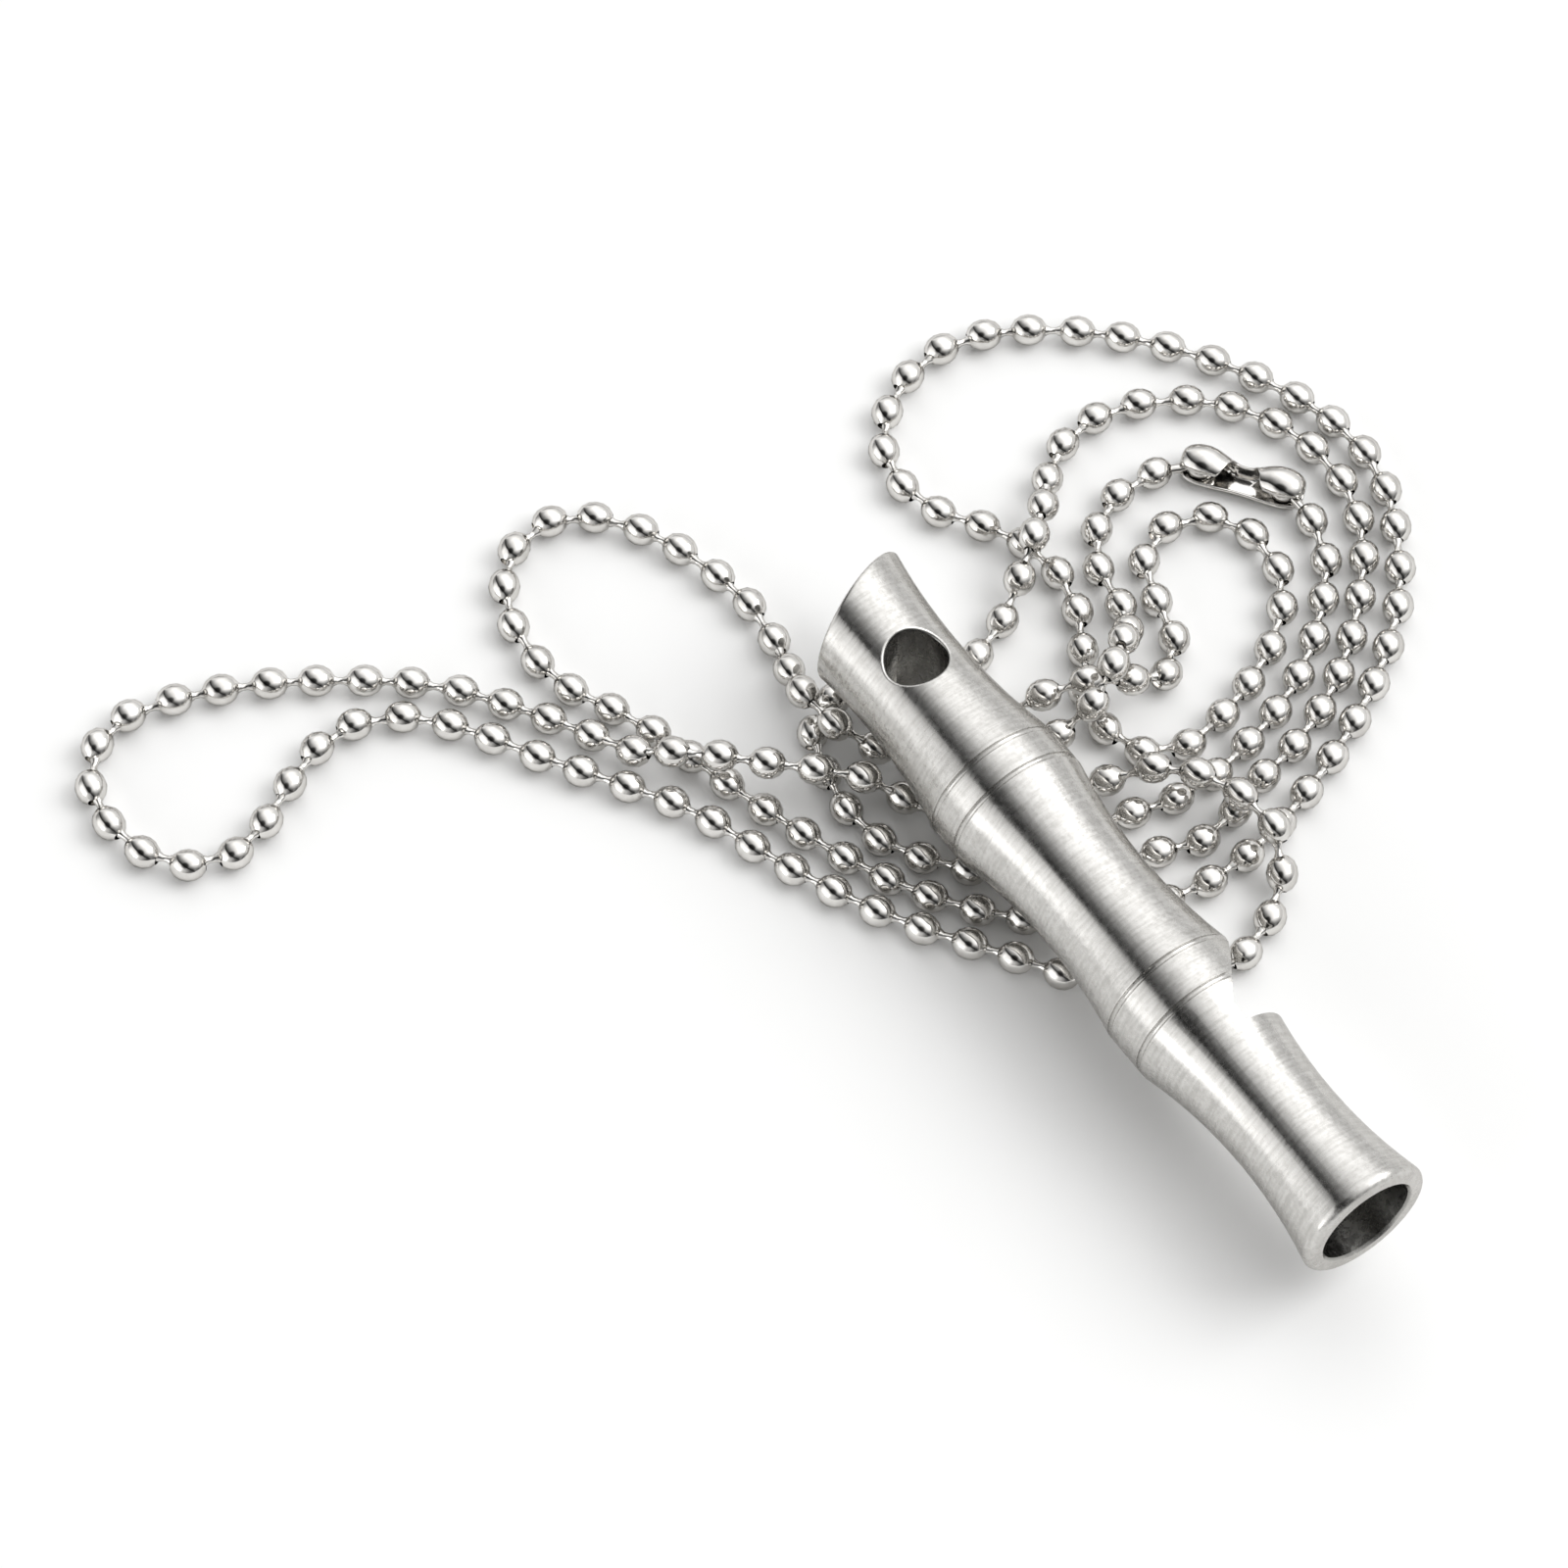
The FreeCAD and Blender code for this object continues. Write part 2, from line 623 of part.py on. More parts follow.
def route_edges(points):
    """Straight runs joined by tangent arcs; also gives the arcs' radii."""
    edges, radii = [], []
    here = points[0]
    for before, corner, after in zip(points, points[1:], points[2:]):
        into, out = (corner - before), (after - corner)
        share = BEND_SHARE * min(into.Length, out.Length)
        into, out = into.normalize(), out.normalize()
        half_turn = into.getAngle(out) / 2
        radius = share / math.tan(half_turn)
        start, end = corner - into * share, corner + out * share
        inward = (out - into).normalize()
        middle = corner + inward * (radius / math.cos(half_turn) - radius)
        edges.append(Part.LineSegment(here, start).toShape())
        edges.append(Part.Arc(start, middle, end).toShape())
        radii.append(radius)
        here = end
    edges.append(Part.LineSegment(here, points[-1]).toShape())
    return edges, radii


def make_ball_chain():
    """The chain's envelope: one tube of the beads' diameter along its route."""
    edges, radii = route_edges(route_points())
    route = doc.addObject("Part::Feature", "chain_route")
    route.Shape = Part.Wire(edges)
    section = solid("Circle", "chain_section", Radius="sizes.chain_radius")
    first = edges[0].tangentAt(edges[0].FirstParameter)
    section.Placement = Placement(
        edges[0].valueAt(edges[0].FirstParameter), Rotation(Vector(0, 0, 1), first)
    )
    chain = doc.addObject("Part::Sweep", "ball_chain")
    chain.Sections = [section]
    chain.Spine = (route, ["Edge%d" % (n + 1) for n in range(len(edges))])
    chain.Solid = True
    chain.Frenet = False
    chain.Transition = "Transformed"
    chain.Label = "ball_chain"
    return chain, radii


# ------------------------------------------------------------------- assembly
whistle_body = make_whistle_body()
lay_whistle(whistle_body, "0")
windway_plug = make_windway_plug()
lay_whistle(windway_plug, "sizes.plug_recess")
ball_chain, bend_radii = make_ball_chain()
nodes = [
    whistle_body,
    windway_plug,
    make_connector(),
    make_end_bead("left", -1, "sizes.left_heading"),
    make_end_bead("right", 1, "sizes.right_heading"),
    make_end_link("left", -1, "sizes.left_heading"),
    make_end_link("right", 1, "sizes.right_heading"),
    ball_chain,
]
doc.recompute()

for item in doc.Objects:
    faults = [state for state in item.State if state in FAULTS]
    if faults:
        raise RuntimeError("%s is %s" % (item.Name, ", ".join(faults)))
for node in nodes:
    if node.Shape.isNull() or not node.Shape.isValid():
        raise RuntimeError("%s has no valid shape" % node.Label)

length = doc.getObject("chain_route").Shape.Length
section_area = math.pi * value("sizes.chain_radius") ** 2
print("chain length %.1f mm" % length)
print("chain bend radii %.2f to %.1f mm" % (min(bend_radii), max(bend_radii)))
print("bends under three diameters: %d" % sum(r < 6 * SIZES["chain_radius"] for r in bend_radii))
print("chain volume %.1f, section x length %.1f mm3"
      % (ball_chain.Shape.Volume, section_area * length))

os.makedirs("parts", exist_ok=True)
for node in nodes:
    node.Shape.exportStep("parts/%s.step" % node.Label)
    box = node.Shape.BoundBox
    print("%-16s %8.2f mm3  x %6.2f..%6.2f  y %6.2f..%6.2f  z %6.2f..%6.2f" % (
        node.Label, node.Shape.Volume, box.XMin, box.XMax, box.YMin, box.YMax,
        box.ZMin, box.ZMax))
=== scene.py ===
"""A turned steel pocket whistle lying on its loose ball chain, dressed for a studio view.

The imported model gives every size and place; this script adds the balls and links of
the chain, the finishes, the floor, the light and the camera.  Metres throughout.
"""

import json
import logging
import math
from dataclasses import dataclass
from enum import Enum
from typing import Sequence

import bmesh
import bpy
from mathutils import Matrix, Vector


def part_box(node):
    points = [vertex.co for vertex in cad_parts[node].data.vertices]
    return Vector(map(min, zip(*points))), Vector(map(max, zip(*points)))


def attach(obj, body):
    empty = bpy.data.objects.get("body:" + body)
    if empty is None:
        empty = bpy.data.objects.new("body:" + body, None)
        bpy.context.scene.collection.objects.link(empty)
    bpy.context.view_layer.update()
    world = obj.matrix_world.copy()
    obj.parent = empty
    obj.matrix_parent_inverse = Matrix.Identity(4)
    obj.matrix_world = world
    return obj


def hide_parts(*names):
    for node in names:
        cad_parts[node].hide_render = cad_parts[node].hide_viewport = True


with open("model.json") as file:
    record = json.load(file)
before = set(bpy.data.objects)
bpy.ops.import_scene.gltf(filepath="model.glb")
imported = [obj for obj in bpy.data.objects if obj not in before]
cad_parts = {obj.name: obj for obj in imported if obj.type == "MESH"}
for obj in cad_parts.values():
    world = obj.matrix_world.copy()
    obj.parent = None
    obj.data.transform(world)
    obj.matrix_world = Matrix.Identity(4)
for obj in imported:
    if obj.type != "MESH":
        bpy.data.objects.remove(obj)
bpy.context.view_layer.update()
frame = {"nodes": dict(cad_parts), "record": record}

MM = 0.001

log = logging.getLogger("pocket_whistle")

# The chain's route in millimetres, from the connector's left end round to its right
# end.  Points without a height lie on the floor.
CHAIN_ROUTE = [
    (-29.6, 6.4), (-26.6, 3.6), (-22.4, 3.3), (-19.6, 1.9, 2.2),
    (-17.3, -0.8, 6.6), (-15.3, -3.3, 6.8), (-14.7, -6.4, 3.4), (-16.4, -9.8),
    (-19.2, -13.3), (-24.0, -15.2), (-27.6, -17.2), (-28.4, -20.2),
    (-25.6, -22.6), (-21.6, -23.2), (-18.2, -23.8), (-14.2, -22.2),
    (-10.2, -19.0), (-6.8, -15.6), (-5.2, -11.6), (-4.4, -7.9),
    (-2.6, -5.6), (-3.0, -1.6), (-4.6, 2.6), (-5.4, 7.2),
    (-8.2, 12.8), (-12.2, 17.6), (-16.6, 21.5), (-21.5, 23.4),
    (-27.2, 23.0), (-32.4, 20.2), (-35.8, 15.8), (-37.2, 10.2),
    (-35.4, 6.2), (-33.2, 4.2, 1.6), (-31.0, 2.2, 3.8), (-28.9, -0.6, 3.8),
    (-27.2, -3.2, 1.4), (-25.8, -5.6), (-24.9, -8.4), (-23.3, -10.8), (-20.6, -10.8),
    (-19.0, -8.6), (-18.4, -5.6, 3.9), (-15.8, -1.6, 3.9), (-15.3, 1.9),
    (-16.4, 4.3), (-20.4, 5.4), (-24.2, 6.2), (-26.2, 9.2),
    (-25.4, 13.0), (-21.8, 15.1), (-17.4, 14.6), (-13.8, 11.4),
    (-11.5, 7.0), (-10.2, 3.0), (-9.6, -0.6), (-11.6, -3.9),
    (-15.2, -4.3), (-18.6, -3.4), (-21.4, -0.9), (-24.6, 0.7),
    (-28.6, 1.2), (-32.6, 0.0), (-36.2, -2.9), (-40.0, -4.1),
    (-44.6, -3.0), (-47.8, 1.2), (-48.8, 6.2), (-46.8, 11.4),
    (-43.0, 16.2), (-38.4, 20.2), (-33.2, 23.4), (-27.4, 25.8),
    (-21.2, 26.3), (-15.2, 23.6), (-10.2, 19.8), (-6.4, 14.8),
    (-3.5, 9.4), (-1.4, 4.0), (0.1, -1.4), (0.4, -5.6),
    (-0.4, -10.2), (-1.8, -14.8), (-5.2, -18.8), (-9.2, -22.2),
    (-14.0, -25.0), (-19.4, -27.1), (-24.8, -28.9), (-30.2, -30.2),
    (-35.4, -31.8), (-40.0, -34.4), (-45.4, -34.9), (-50.4, -33.2),
    (-53.4, -29.2), (-52.2, -24.8), (-48.2, -21.6), (-42.8, -19.7),
    (-37.2, -18.9), (-32.6, -19.9), (-29.2, -21.3, 3.8), (-25.8, -21.3, 3.8),
    (-22.6, -18.8), (-18.9, -16.5), (-15.0, -13.7), (-12.4, -10.2),
    (-11.0, -7.6), (-9.2, -4.4, 3.4), (-6.8, -2.2, 3.9), (-3.4, -0.4, 3.9),
    (1.2, 0.1, 3.9), (3.9, -1.9), (6.2, -5.6), (7.0, -9.8),
    (5.2, -14.0), (1.8, -18.0), (-3.4, -21.2), (-8.2, -24.8),
    (-14.0, -28.0), (-20.2, -30.6), (-26.2, -32.5), (-31.4, -35.9),
    (-36.8, -39.5), (-42.0, -42.4), (-46.2, -46.4), (-46.9, -51.4),
    (-44.5, -56.4), (-41.9, -61.0), (-43.6, -66.0), (-49.0, -68.2),
    (-54.8, -67.0), (-57.2, -62.4), (-55.6, -57.0), (-53.2, -51.8),
    (-49.8, -46.6), (-45.8, -41.6), (-40.8, -38.1), (-36.0, -35.1),
    (-32.8, -33.9, 1.6), (-29.7, -31.7, 3.9), (-26.6, -28.3, 3.9), (-23.6, -25.3, 3.6),
    (-20.8, -22.1, 3.9), (-18.2, -19.6, 1.3), (-14.6, -18.2), (-11.2, -15.8),
    (-9.0, -12.0), (-8.0, -8.0), (-6.7, -4.4), (-6.5, -0.2),
    (-7.7, 4.7), (-9.1, 9.0), (-11.9, 13.3), (-15.4, 17.0),
]


class Side(Enum):
    """The two ends of the chain's connector."""

    LEFT = "left"
    RIGHT = "right"


def new_material(name: str) -> tuple[bpy.types.Material, bpy.types.ShaderNode]:
    """Make an empty node material.

    Args:
        name: the material's name.

    Returns:
        The material and its surface shader.
    """
    material = bpy.data.materials.new(name)
    material.use_nodes = True
    shader = material.node_tree.nodes["Principled BSDF"]
    return material, shader


def add_node(tree: bpy.types.NodeTree, kind: str, **settings: object) -> bpy.types.Node:
    """Add a node to a tree and set its properties.

    Args:
        tree: the tree that the node joins.
        kind: the node's type name.
        settings: properties of the node, by name.

    Returns:
        The new node.
    """
    node = tree.nodes.new(kind)
    for key, value in settings.items():
        setattr(node, key, value)
    return node


def noise_at(
    tree: bpy.types.NodeTree,
    place: bpy.types.Node,
    scale: Sequence[float],
    detail: float,
    turn: Sequence[float] = (0.0, 0.0, 0.0),
) -> bpy.types.Node:
    """Add noise on the piece's own coordinates.

    Args:
        tree: the material's tree.
        place: the coordinate node.
        scale: cells per metre along X, Y and Z.
        detail: how many finer layers the noise has.
        turn: how the pattern is turned.

    Returns:
        The noise node.
    """
    mapping = add_node(tree, "ShaderNodeMapping", vector_type="TEXTURE")
    mapping.inputs["Rotation"].default_value = turn
    mapping.inputs["Scale"].default_value = [1.0 / cells for cells in scale]
    tree.links.new(place.outputs["Object"], mapping.inputs["Vector"])
    noise = add_node(tree, "ShaderNodeTexNoise")
    noise.inputs["Scale"].default_value = 1.0
    noise.inputs["Detail"].default_value = detail
    tree.links.new(mapping.outputs["Vector"], noise.inputs["Vector"])
    return noise


def combine(
    tree: bpy.types.NodeTree, operation: str, *values: bpy.types.NodeSocket | float
) -> bpy.types.NodeSocket:
    """Do a piece of arithmetic on sockets and plain numbers.

    Args:
        tree: the tree that the node joins.
        operation: the math node's operation.
        values: what it works on, in order.

    Returns:
        The result's socket.
    """
    node = add_node(tree, "ShaderNodeMath", operation=operation)
    for socket, value in zip(node.inputs, values):
        if isinstance(value, float):
            socket.default_value = value
        else:
            tree.links.new(value, socket)
    return node.outputs["Value"]


def spread(
    tree: bpy.types.NodeTree,
    source: bpy.types.NodeSocket,
    seen: tuple[float, float],
    wanted: tuple[float, float],
) -> bpy.types.NodeSocket:
    """Stretch a value from one range to another.

    Args:
        tree: the material's tree.
        source: the value.
        seen: the range that it has.
        wanted: the range that it gets.

    Returns:
        The stretched value's socket.
    """
    stretch = add_node(tree, "ShaderNodeMapRange")
    stretch.inputs["From Min"].default_value, stretch.inputs["From Max"].default_value = seen
    stretch.inputs["To Min"].default_value, stretch.inputs["To Max"].default_value = wanted
    tree.links.new(source, stretch.inputs["Value"])
    return stretch.outputs["Result"]


def blend(
    tree: bpy.types.NodeTree,
    share: bpy.types.NodeSocket,
    first: Sequence[float],
    second: Sequence[float],
) -> bpy.types.NodeSocket:
    """Mix two colours by a value.

    Args:
        tree: the material's tree.
        share: how much of the second colour there is.
        first: the colour at none.
        second: the colour at one.

    Returns:
        The mixed colour's socket.
    """
    mix = add_node(tree, "ShaderNodeMix", data_type="RGBA")
    mix.inputs["A"].default_value = (*first, 1.0)
    mix.inputs["B"].default_value = (*second, 1.0)
    tree.links.new(share, mix.inputs["Factor"])
    return mix.outputs["Result"]


def ease(share: float) -> float:
    """Turn a share, held between none and one, into a smooth step."""
    held = min(max(share, 0.0), 1.0)
    return held * held * (3 - 2 * held)


@dataclass(frozen=True)
class TurnedSteel:
    """Satin stainless steel with the fine rings that a lathe tool leaves, and painted shade in
    the bore and eyelet.
    """

    name: str
    axis_y: float
    axis_z: float
    bore: float
    eyelet: tuple[float, float]
    eyelet_radius: float
    colour: tuple[float, float, float] = (0.63, 0.62, 0.60)
    shade: tuple[float, float, float] = (0.49, 0.48, 0.46)
    # painted shade: the darker colour laid on the bore and eyelet walls
    painted_hole_shade: tuple[float, float, float] = (0.32, 0.315, 0.30)
    edge_tint: tuple[float, float, float] = (0.80, 0.79, 0.78)
    roughness_low: float = 0.20
    roughness_high: float = 0.34
    anisotropy: float = 0.84
    stretch_turn: float = 0.25
    rings_per_metre: float = 4200.0
    rings_round: float = 330.0
    grain_per_metre: float = 2600.0
    smear_per_metre: float = 230.0
    chatter_per_metre: float = 2900.0
    chatter_round: float = 170.0
    chatter_slant: float = math.radians(17.0)
    ring_height: float = 0.000009
    chatter_height: float = 0.000026
    soft_edge: float = 0.00012
    fine_detail: float = 2.0
    smear_detail: float = 4.0
    chatter_detail: float = 1.0
    tone_range: tuple[float, float] = (0.75, 1.25)
    roughness_range: tuple[float, float] = (0.7, 1.3)
    patch_range: tuple[float, float] = (0.46, 0.60)
    patch_strength: tuple[float, float] = (0.1, 1.0)

    def build(self) -> bpy.types.Material:
        """Build the material.

        Returns:
            The steel, whose lines run round the whistle's axis.
        """
        material, shader = new_material(self.name)
        tree = material.node_tree
        shader.inputs["Metallic"].default_value = 1.0
        shader.inputs["Anisotropic"].default_value = self.anisotropy
        shader.inputs["Anisotropic Rotation"].default_value = self.stretch_turn
        shader.inputs["Specular Tint"].default_value = (*self.edge_tint, 1.0)
        place = add_node(tree, "ShaderNodeTexCoord")
        ring_cells = (self.rings_per_metre, self.rings_round, self.rings_round)
        rings = noise_at(tree, place, ring_cells, self.fine_detail)
        grain = noise_at(tree, place, (self.grain_per_metre,) * 3, self.fine_detail)
        smear = noise_at(tree, place, (self.smear_per_metre,) * 3, self.smear_detail)
        chatter_cells = (self.chatter_per_metre, self.chatter_round, self.chatter_round)
        slant = (0.0, 0.0, self.chatter_slant)
        chatter = noise_at(tree, place, chatter_cells, self.chatter_detail, turn=slant)
        # mask of the holes, where shade is painted into the colour
        hole_shade = self._hole_shade_mask(tree, place)
        self._colour(tree, rings, grain, hole_shade, shader)
        self._roughness(tree, smear, grain, shader)
        self._bumps(tree, rings, chatter, smear, shader)
        tangent = add_node(tree, "ShaderNodeTangent", direction_type="RADIAL", axis="X")
        tree.links.new(tangent.outputs["Tangent"], shader.inputs["Tangent"])
        return material

    def _hole_shade_mask(self, tree: bpy.types.NodeTree, place: bpy.types.Node) -> bpy.types.NodeSocket:
        """Mark the bore and eyelet walls, where shade is painted into the colour.

        Args:
            tree: the material's tree.
            place: the coordinate node.

        Returns:
            A value that is one in the bore and the eyelet, and none elsewhere.
        """
        bore = self._near(
            tree, place, (0.0, self.axis_y, self.axis_z), (0.0, 1.0, 1.0), self.bore
        )
        eyelet = self._near(
            tree, place, (*self.eyelet, 0.0), (1.0, 1.0, 0.0), self.eyelet_radius
        )
        return combine(tree, "MAXIMUM", bore, eyelet)

    def _near(
        self,
        tree: bpy.types.NodeTree,
        place: bpy.types.Node,
        centre: Sequence[float],
        across: Sequence[float],
        reach: float,
    ) -> bpy.types.NodeSocket:
        """Mark what lies within a drilled hole's radius of its axis.

        Args:
            tree: the material's tree.
            place: the coordinate node.
            centre: a point on the axis.
            across: one for each direction that counts, none for the axis itself.
            reach: the hole's radius.

        Returns:
            A value that falls from one to none at the radius.
        """
        apart = add_node(tree, "ShaderNodeVectorMath", operation="SUBTRACT")
        apart.inputs[1].default_value = centre
        tree.links.new(place.outputs["Object"], apart.inputs[0])
        flat = add_node(tree, "ShaderNodeVectorMath", operation="MULTIPLY")
        flat.inputs[1].default_value = across
        tree.links.new(apart.outputs["Vector"], flat.inputs[0])
        far = add_node(tree, "ShaderNodeVectorMath", operation="LENGTH")
        tree.links.new(flat.outputs["Vector"], far.inputs[0])
        edge = (reach, reach + self.soft_edge)
        return spread(tree, far.outputs["Value"], edge, (1.0, 0.0))

    def _colour(
        self,
        tree: bpy.types.NodeTree,
        rings: bpy.types.Node,
        grain: bpy.types.Node,
        hole_shade: bpy.types.NodeSocket,
        shader: bpy.types.ShaderNode,
    ) -> None:
        """Vary the tone by ring and by grain, and paint shade into the bore and eyelet walls.

        Args:
            tree: the material's tree.
            rings: the fine ring noise.
            grain: the fine even noise.
            hole_shade: the mask of the bore and eyelet walls, where shade is painted.
            shader: the surface shader.
        """
        both = combine(tree, "ADD", rings.outputs["Fac"], grain.outputs["Fac"])
        lift = spread(tree, both, self.tone_range, (0.0, 1.0))
        skin = blend(tree, lift, self.shade, self.colour)
        # paint shade into the bore and eyelet walls by mixing in the darker colour
        whole = add_node(tree, "ShaderNodeMix", data_type="RGBA")
        whole.inputs["B"].default_value = (*self.painted_hole_shade, 1.0)
        tree.links.new(skin, whole.inputs["A"])
        tree.links.new(hole_shade, whole.inputs["Factor"])
        tree.links.new(whole.outputs["Result"], shader.inputs["Base Color"])

    def _roughness(
        self,
        tree: bpy.types.NodeTree,
        smear: bpy.types.Node,
        grain: bpy.types.Node,
        shader: bpy.types.ShaderNode,
    ) -> None:
        """Vary the roughness in patches and by grain.

        Args:
            tree: the material's tree.
            smear: the broad noise.
            grain: the fine even noise.
            shader: the surface shader.
        """
        both = combine(tree, "ADD", smear.outputs["Fac"], grain.outputs["Fac"])
        wanted = (self.roughness_low, self.roughness_high)
        rough = spread(tree, both, self.roughness_range, wanted)
        tree.links.new(rough, shader.inputs["Roughness"])

    def _bumps(
        self,
        tree: bpy.types.NodeTree,
        rings: bpy.types.Node,
        chatter: bpy.types.Node,
        smear: bpy.types.Node,
        shader: bpy.types.ShaderNode,
    ) -> None:
        """Raise the lathe rings, and slanting chatter marks in patches.

        Args:
            tree: the material's tree.
            rings: the fine ring noise.
            chatter: the slanting noise.
            smear: the broad noise, which says where the chatter shows.
            shader: the surface shader.
        """
        patch = spread(tree, smear.outputs["Fac"], self.patch_range, self.patch_strength)
        coarse = add_node(tree, "ShaderNodeBump")
        coarse.inputs["Distance"].default_value = self.chatter_height
        tree.links.new(chatter.outputs["Fac"], coarse.inputs["Height"])
        tree.links.new(patch, coarse.inputs["Strength"])
        fine = add_node(tree, "ShaderNodeBump")
        fine.inputs["Distance"].default_value = self.ring_height
        tree.links.new(rings.outputs["Fac"], fine.inputs["Height"])
        tree.links.new(coarse.outputs["Normal"], fine.inputs["Normal"])
        tree.links.new(fine.outputs["Normal"], shader.inputs["Normal"])


@dataclass(frozen=True)
class BrightNickel:
    """Bright nickel plate with faint scuffs."""

    name: str = "bright_nickel_plate"
    colour: tuple[float, float, float] = (0.76, 0.745, 0.72)
    shade: tuple[float, float, float] = (0.62, 0.605, 0.58)
    edge_tint: tuple[float, float, float] = (0.62, 0.61, 0.60)
    roughness_low: float = 0.06
    roughness_high: float = 0.16
    scuffs_per_metre: float = 700.0
    dimple_height: float = 0.000010
    scuff_detail: float = 3.0
    tone_range: tuple[float, float] = (0.35, 0.65)
    roughness_range: tuple[float, float] = (0.3, 0.7)

    def build(self) -> bpy.types.Material:
        """Build the material.

        Returns:
            The plated finish.
        """
        material, shader = new_material(self.name)
        tree = material.node_tree
        shader.inputs["Metallic"].default_value = 1.0
        shader.inputs["Specular Tint"].default_value = (*self.edge_tint, 1.0)
        place = add_node(tree, "ShaderNodeTexCoord")
        scuffs = noise_at(tree, place, (self.scuffs_per_metre,) * 3, self.scuff_detail)
        lift = spread(tree, scuffs.outputs["Fac"], self.tone_range, (0.0, 1.0))
        tree.links.new(blend(tree, lift, self.shade, self.colour), shader.inputs["Base Color"])
        wanted = (self.roughness_low, self.roughness_high)
        rough = spread(tree, scuffs.outputs["Fac"], self.roughness_range, wanted)
        tree.links.new(rough, shader.inputs["Roughness"])
        bump = add_node(tree, "ShaderNodeBump")
        bump.inputs["Distance"].default_value = self.dimple_height
        tree.links.new(scuffs.outputs["Fac"], bump.inputs["Height"])
        tree.links.new(bump.outputs["Normal"], shader.inputs["Normal"])
        return material


@dataclass(frozen=True)
class PaleFloor:
    """A plain matt floor, almost white."""

    name: str = "pale_floor"
    colour: tuple[float, float, float] = (0.90, 0.90, 0.895)
    roughness: float = 0.9
    shine: float = 0.1

    def build(self) -> bpy.types.Material:
        """Build the material.

        Returns:
            The floor's finish.
        """
        material, shader = new_material(self.name)
        shader.inputs["Roughness"].default_value = self.roughness
        shader.inputs["Specular IOR Level"].default_value = self.shine
        shader.inputs["Base Color"].default_value = (*self.colour, 1.0)
        return material


def set_only_material(piece: bpy.types.Object, material: bpy.types.Material) -> None:
    """Give every slot of a piece one material.

    Args:
        piece: the mesh object.
        material: its finish.
    """
    piece.data.materials.clear()
    piece.data.materials.append(material)


@dataclass
class Whistle:
    """The turned body and the plug pressed into its mouth."""

    nodes: tuple[str, ...] = ("whistle_body", "windway_plug")
    bore: float = 3.78 * MM
    eyelet_radius: float = 2.36 * MM

    def dress(self) -> list[str]:
        """Give both sub-parts their steel.

        Returns:
            The names of the dressed pieces.
        """
        low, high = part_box("whistle_body")
        eyelet = frame["record"]["mounts"][0]["pos_m"]
        steel = TurnedSteel(
            "turned_stainless_steel",
            axis_y=(low.y + high.y) / 2,
            axis_z=(low.z + high.z) / 2,
            bore=self.bore,
            eyelet=(eyelet[0], eyelet[1]),
            eyelet_radius=self.eyelet_radius,
        ).build()
        for node in self.nodes:
            set_only_material(frame["nodes"][node], steel)
        return list(self.nodes)


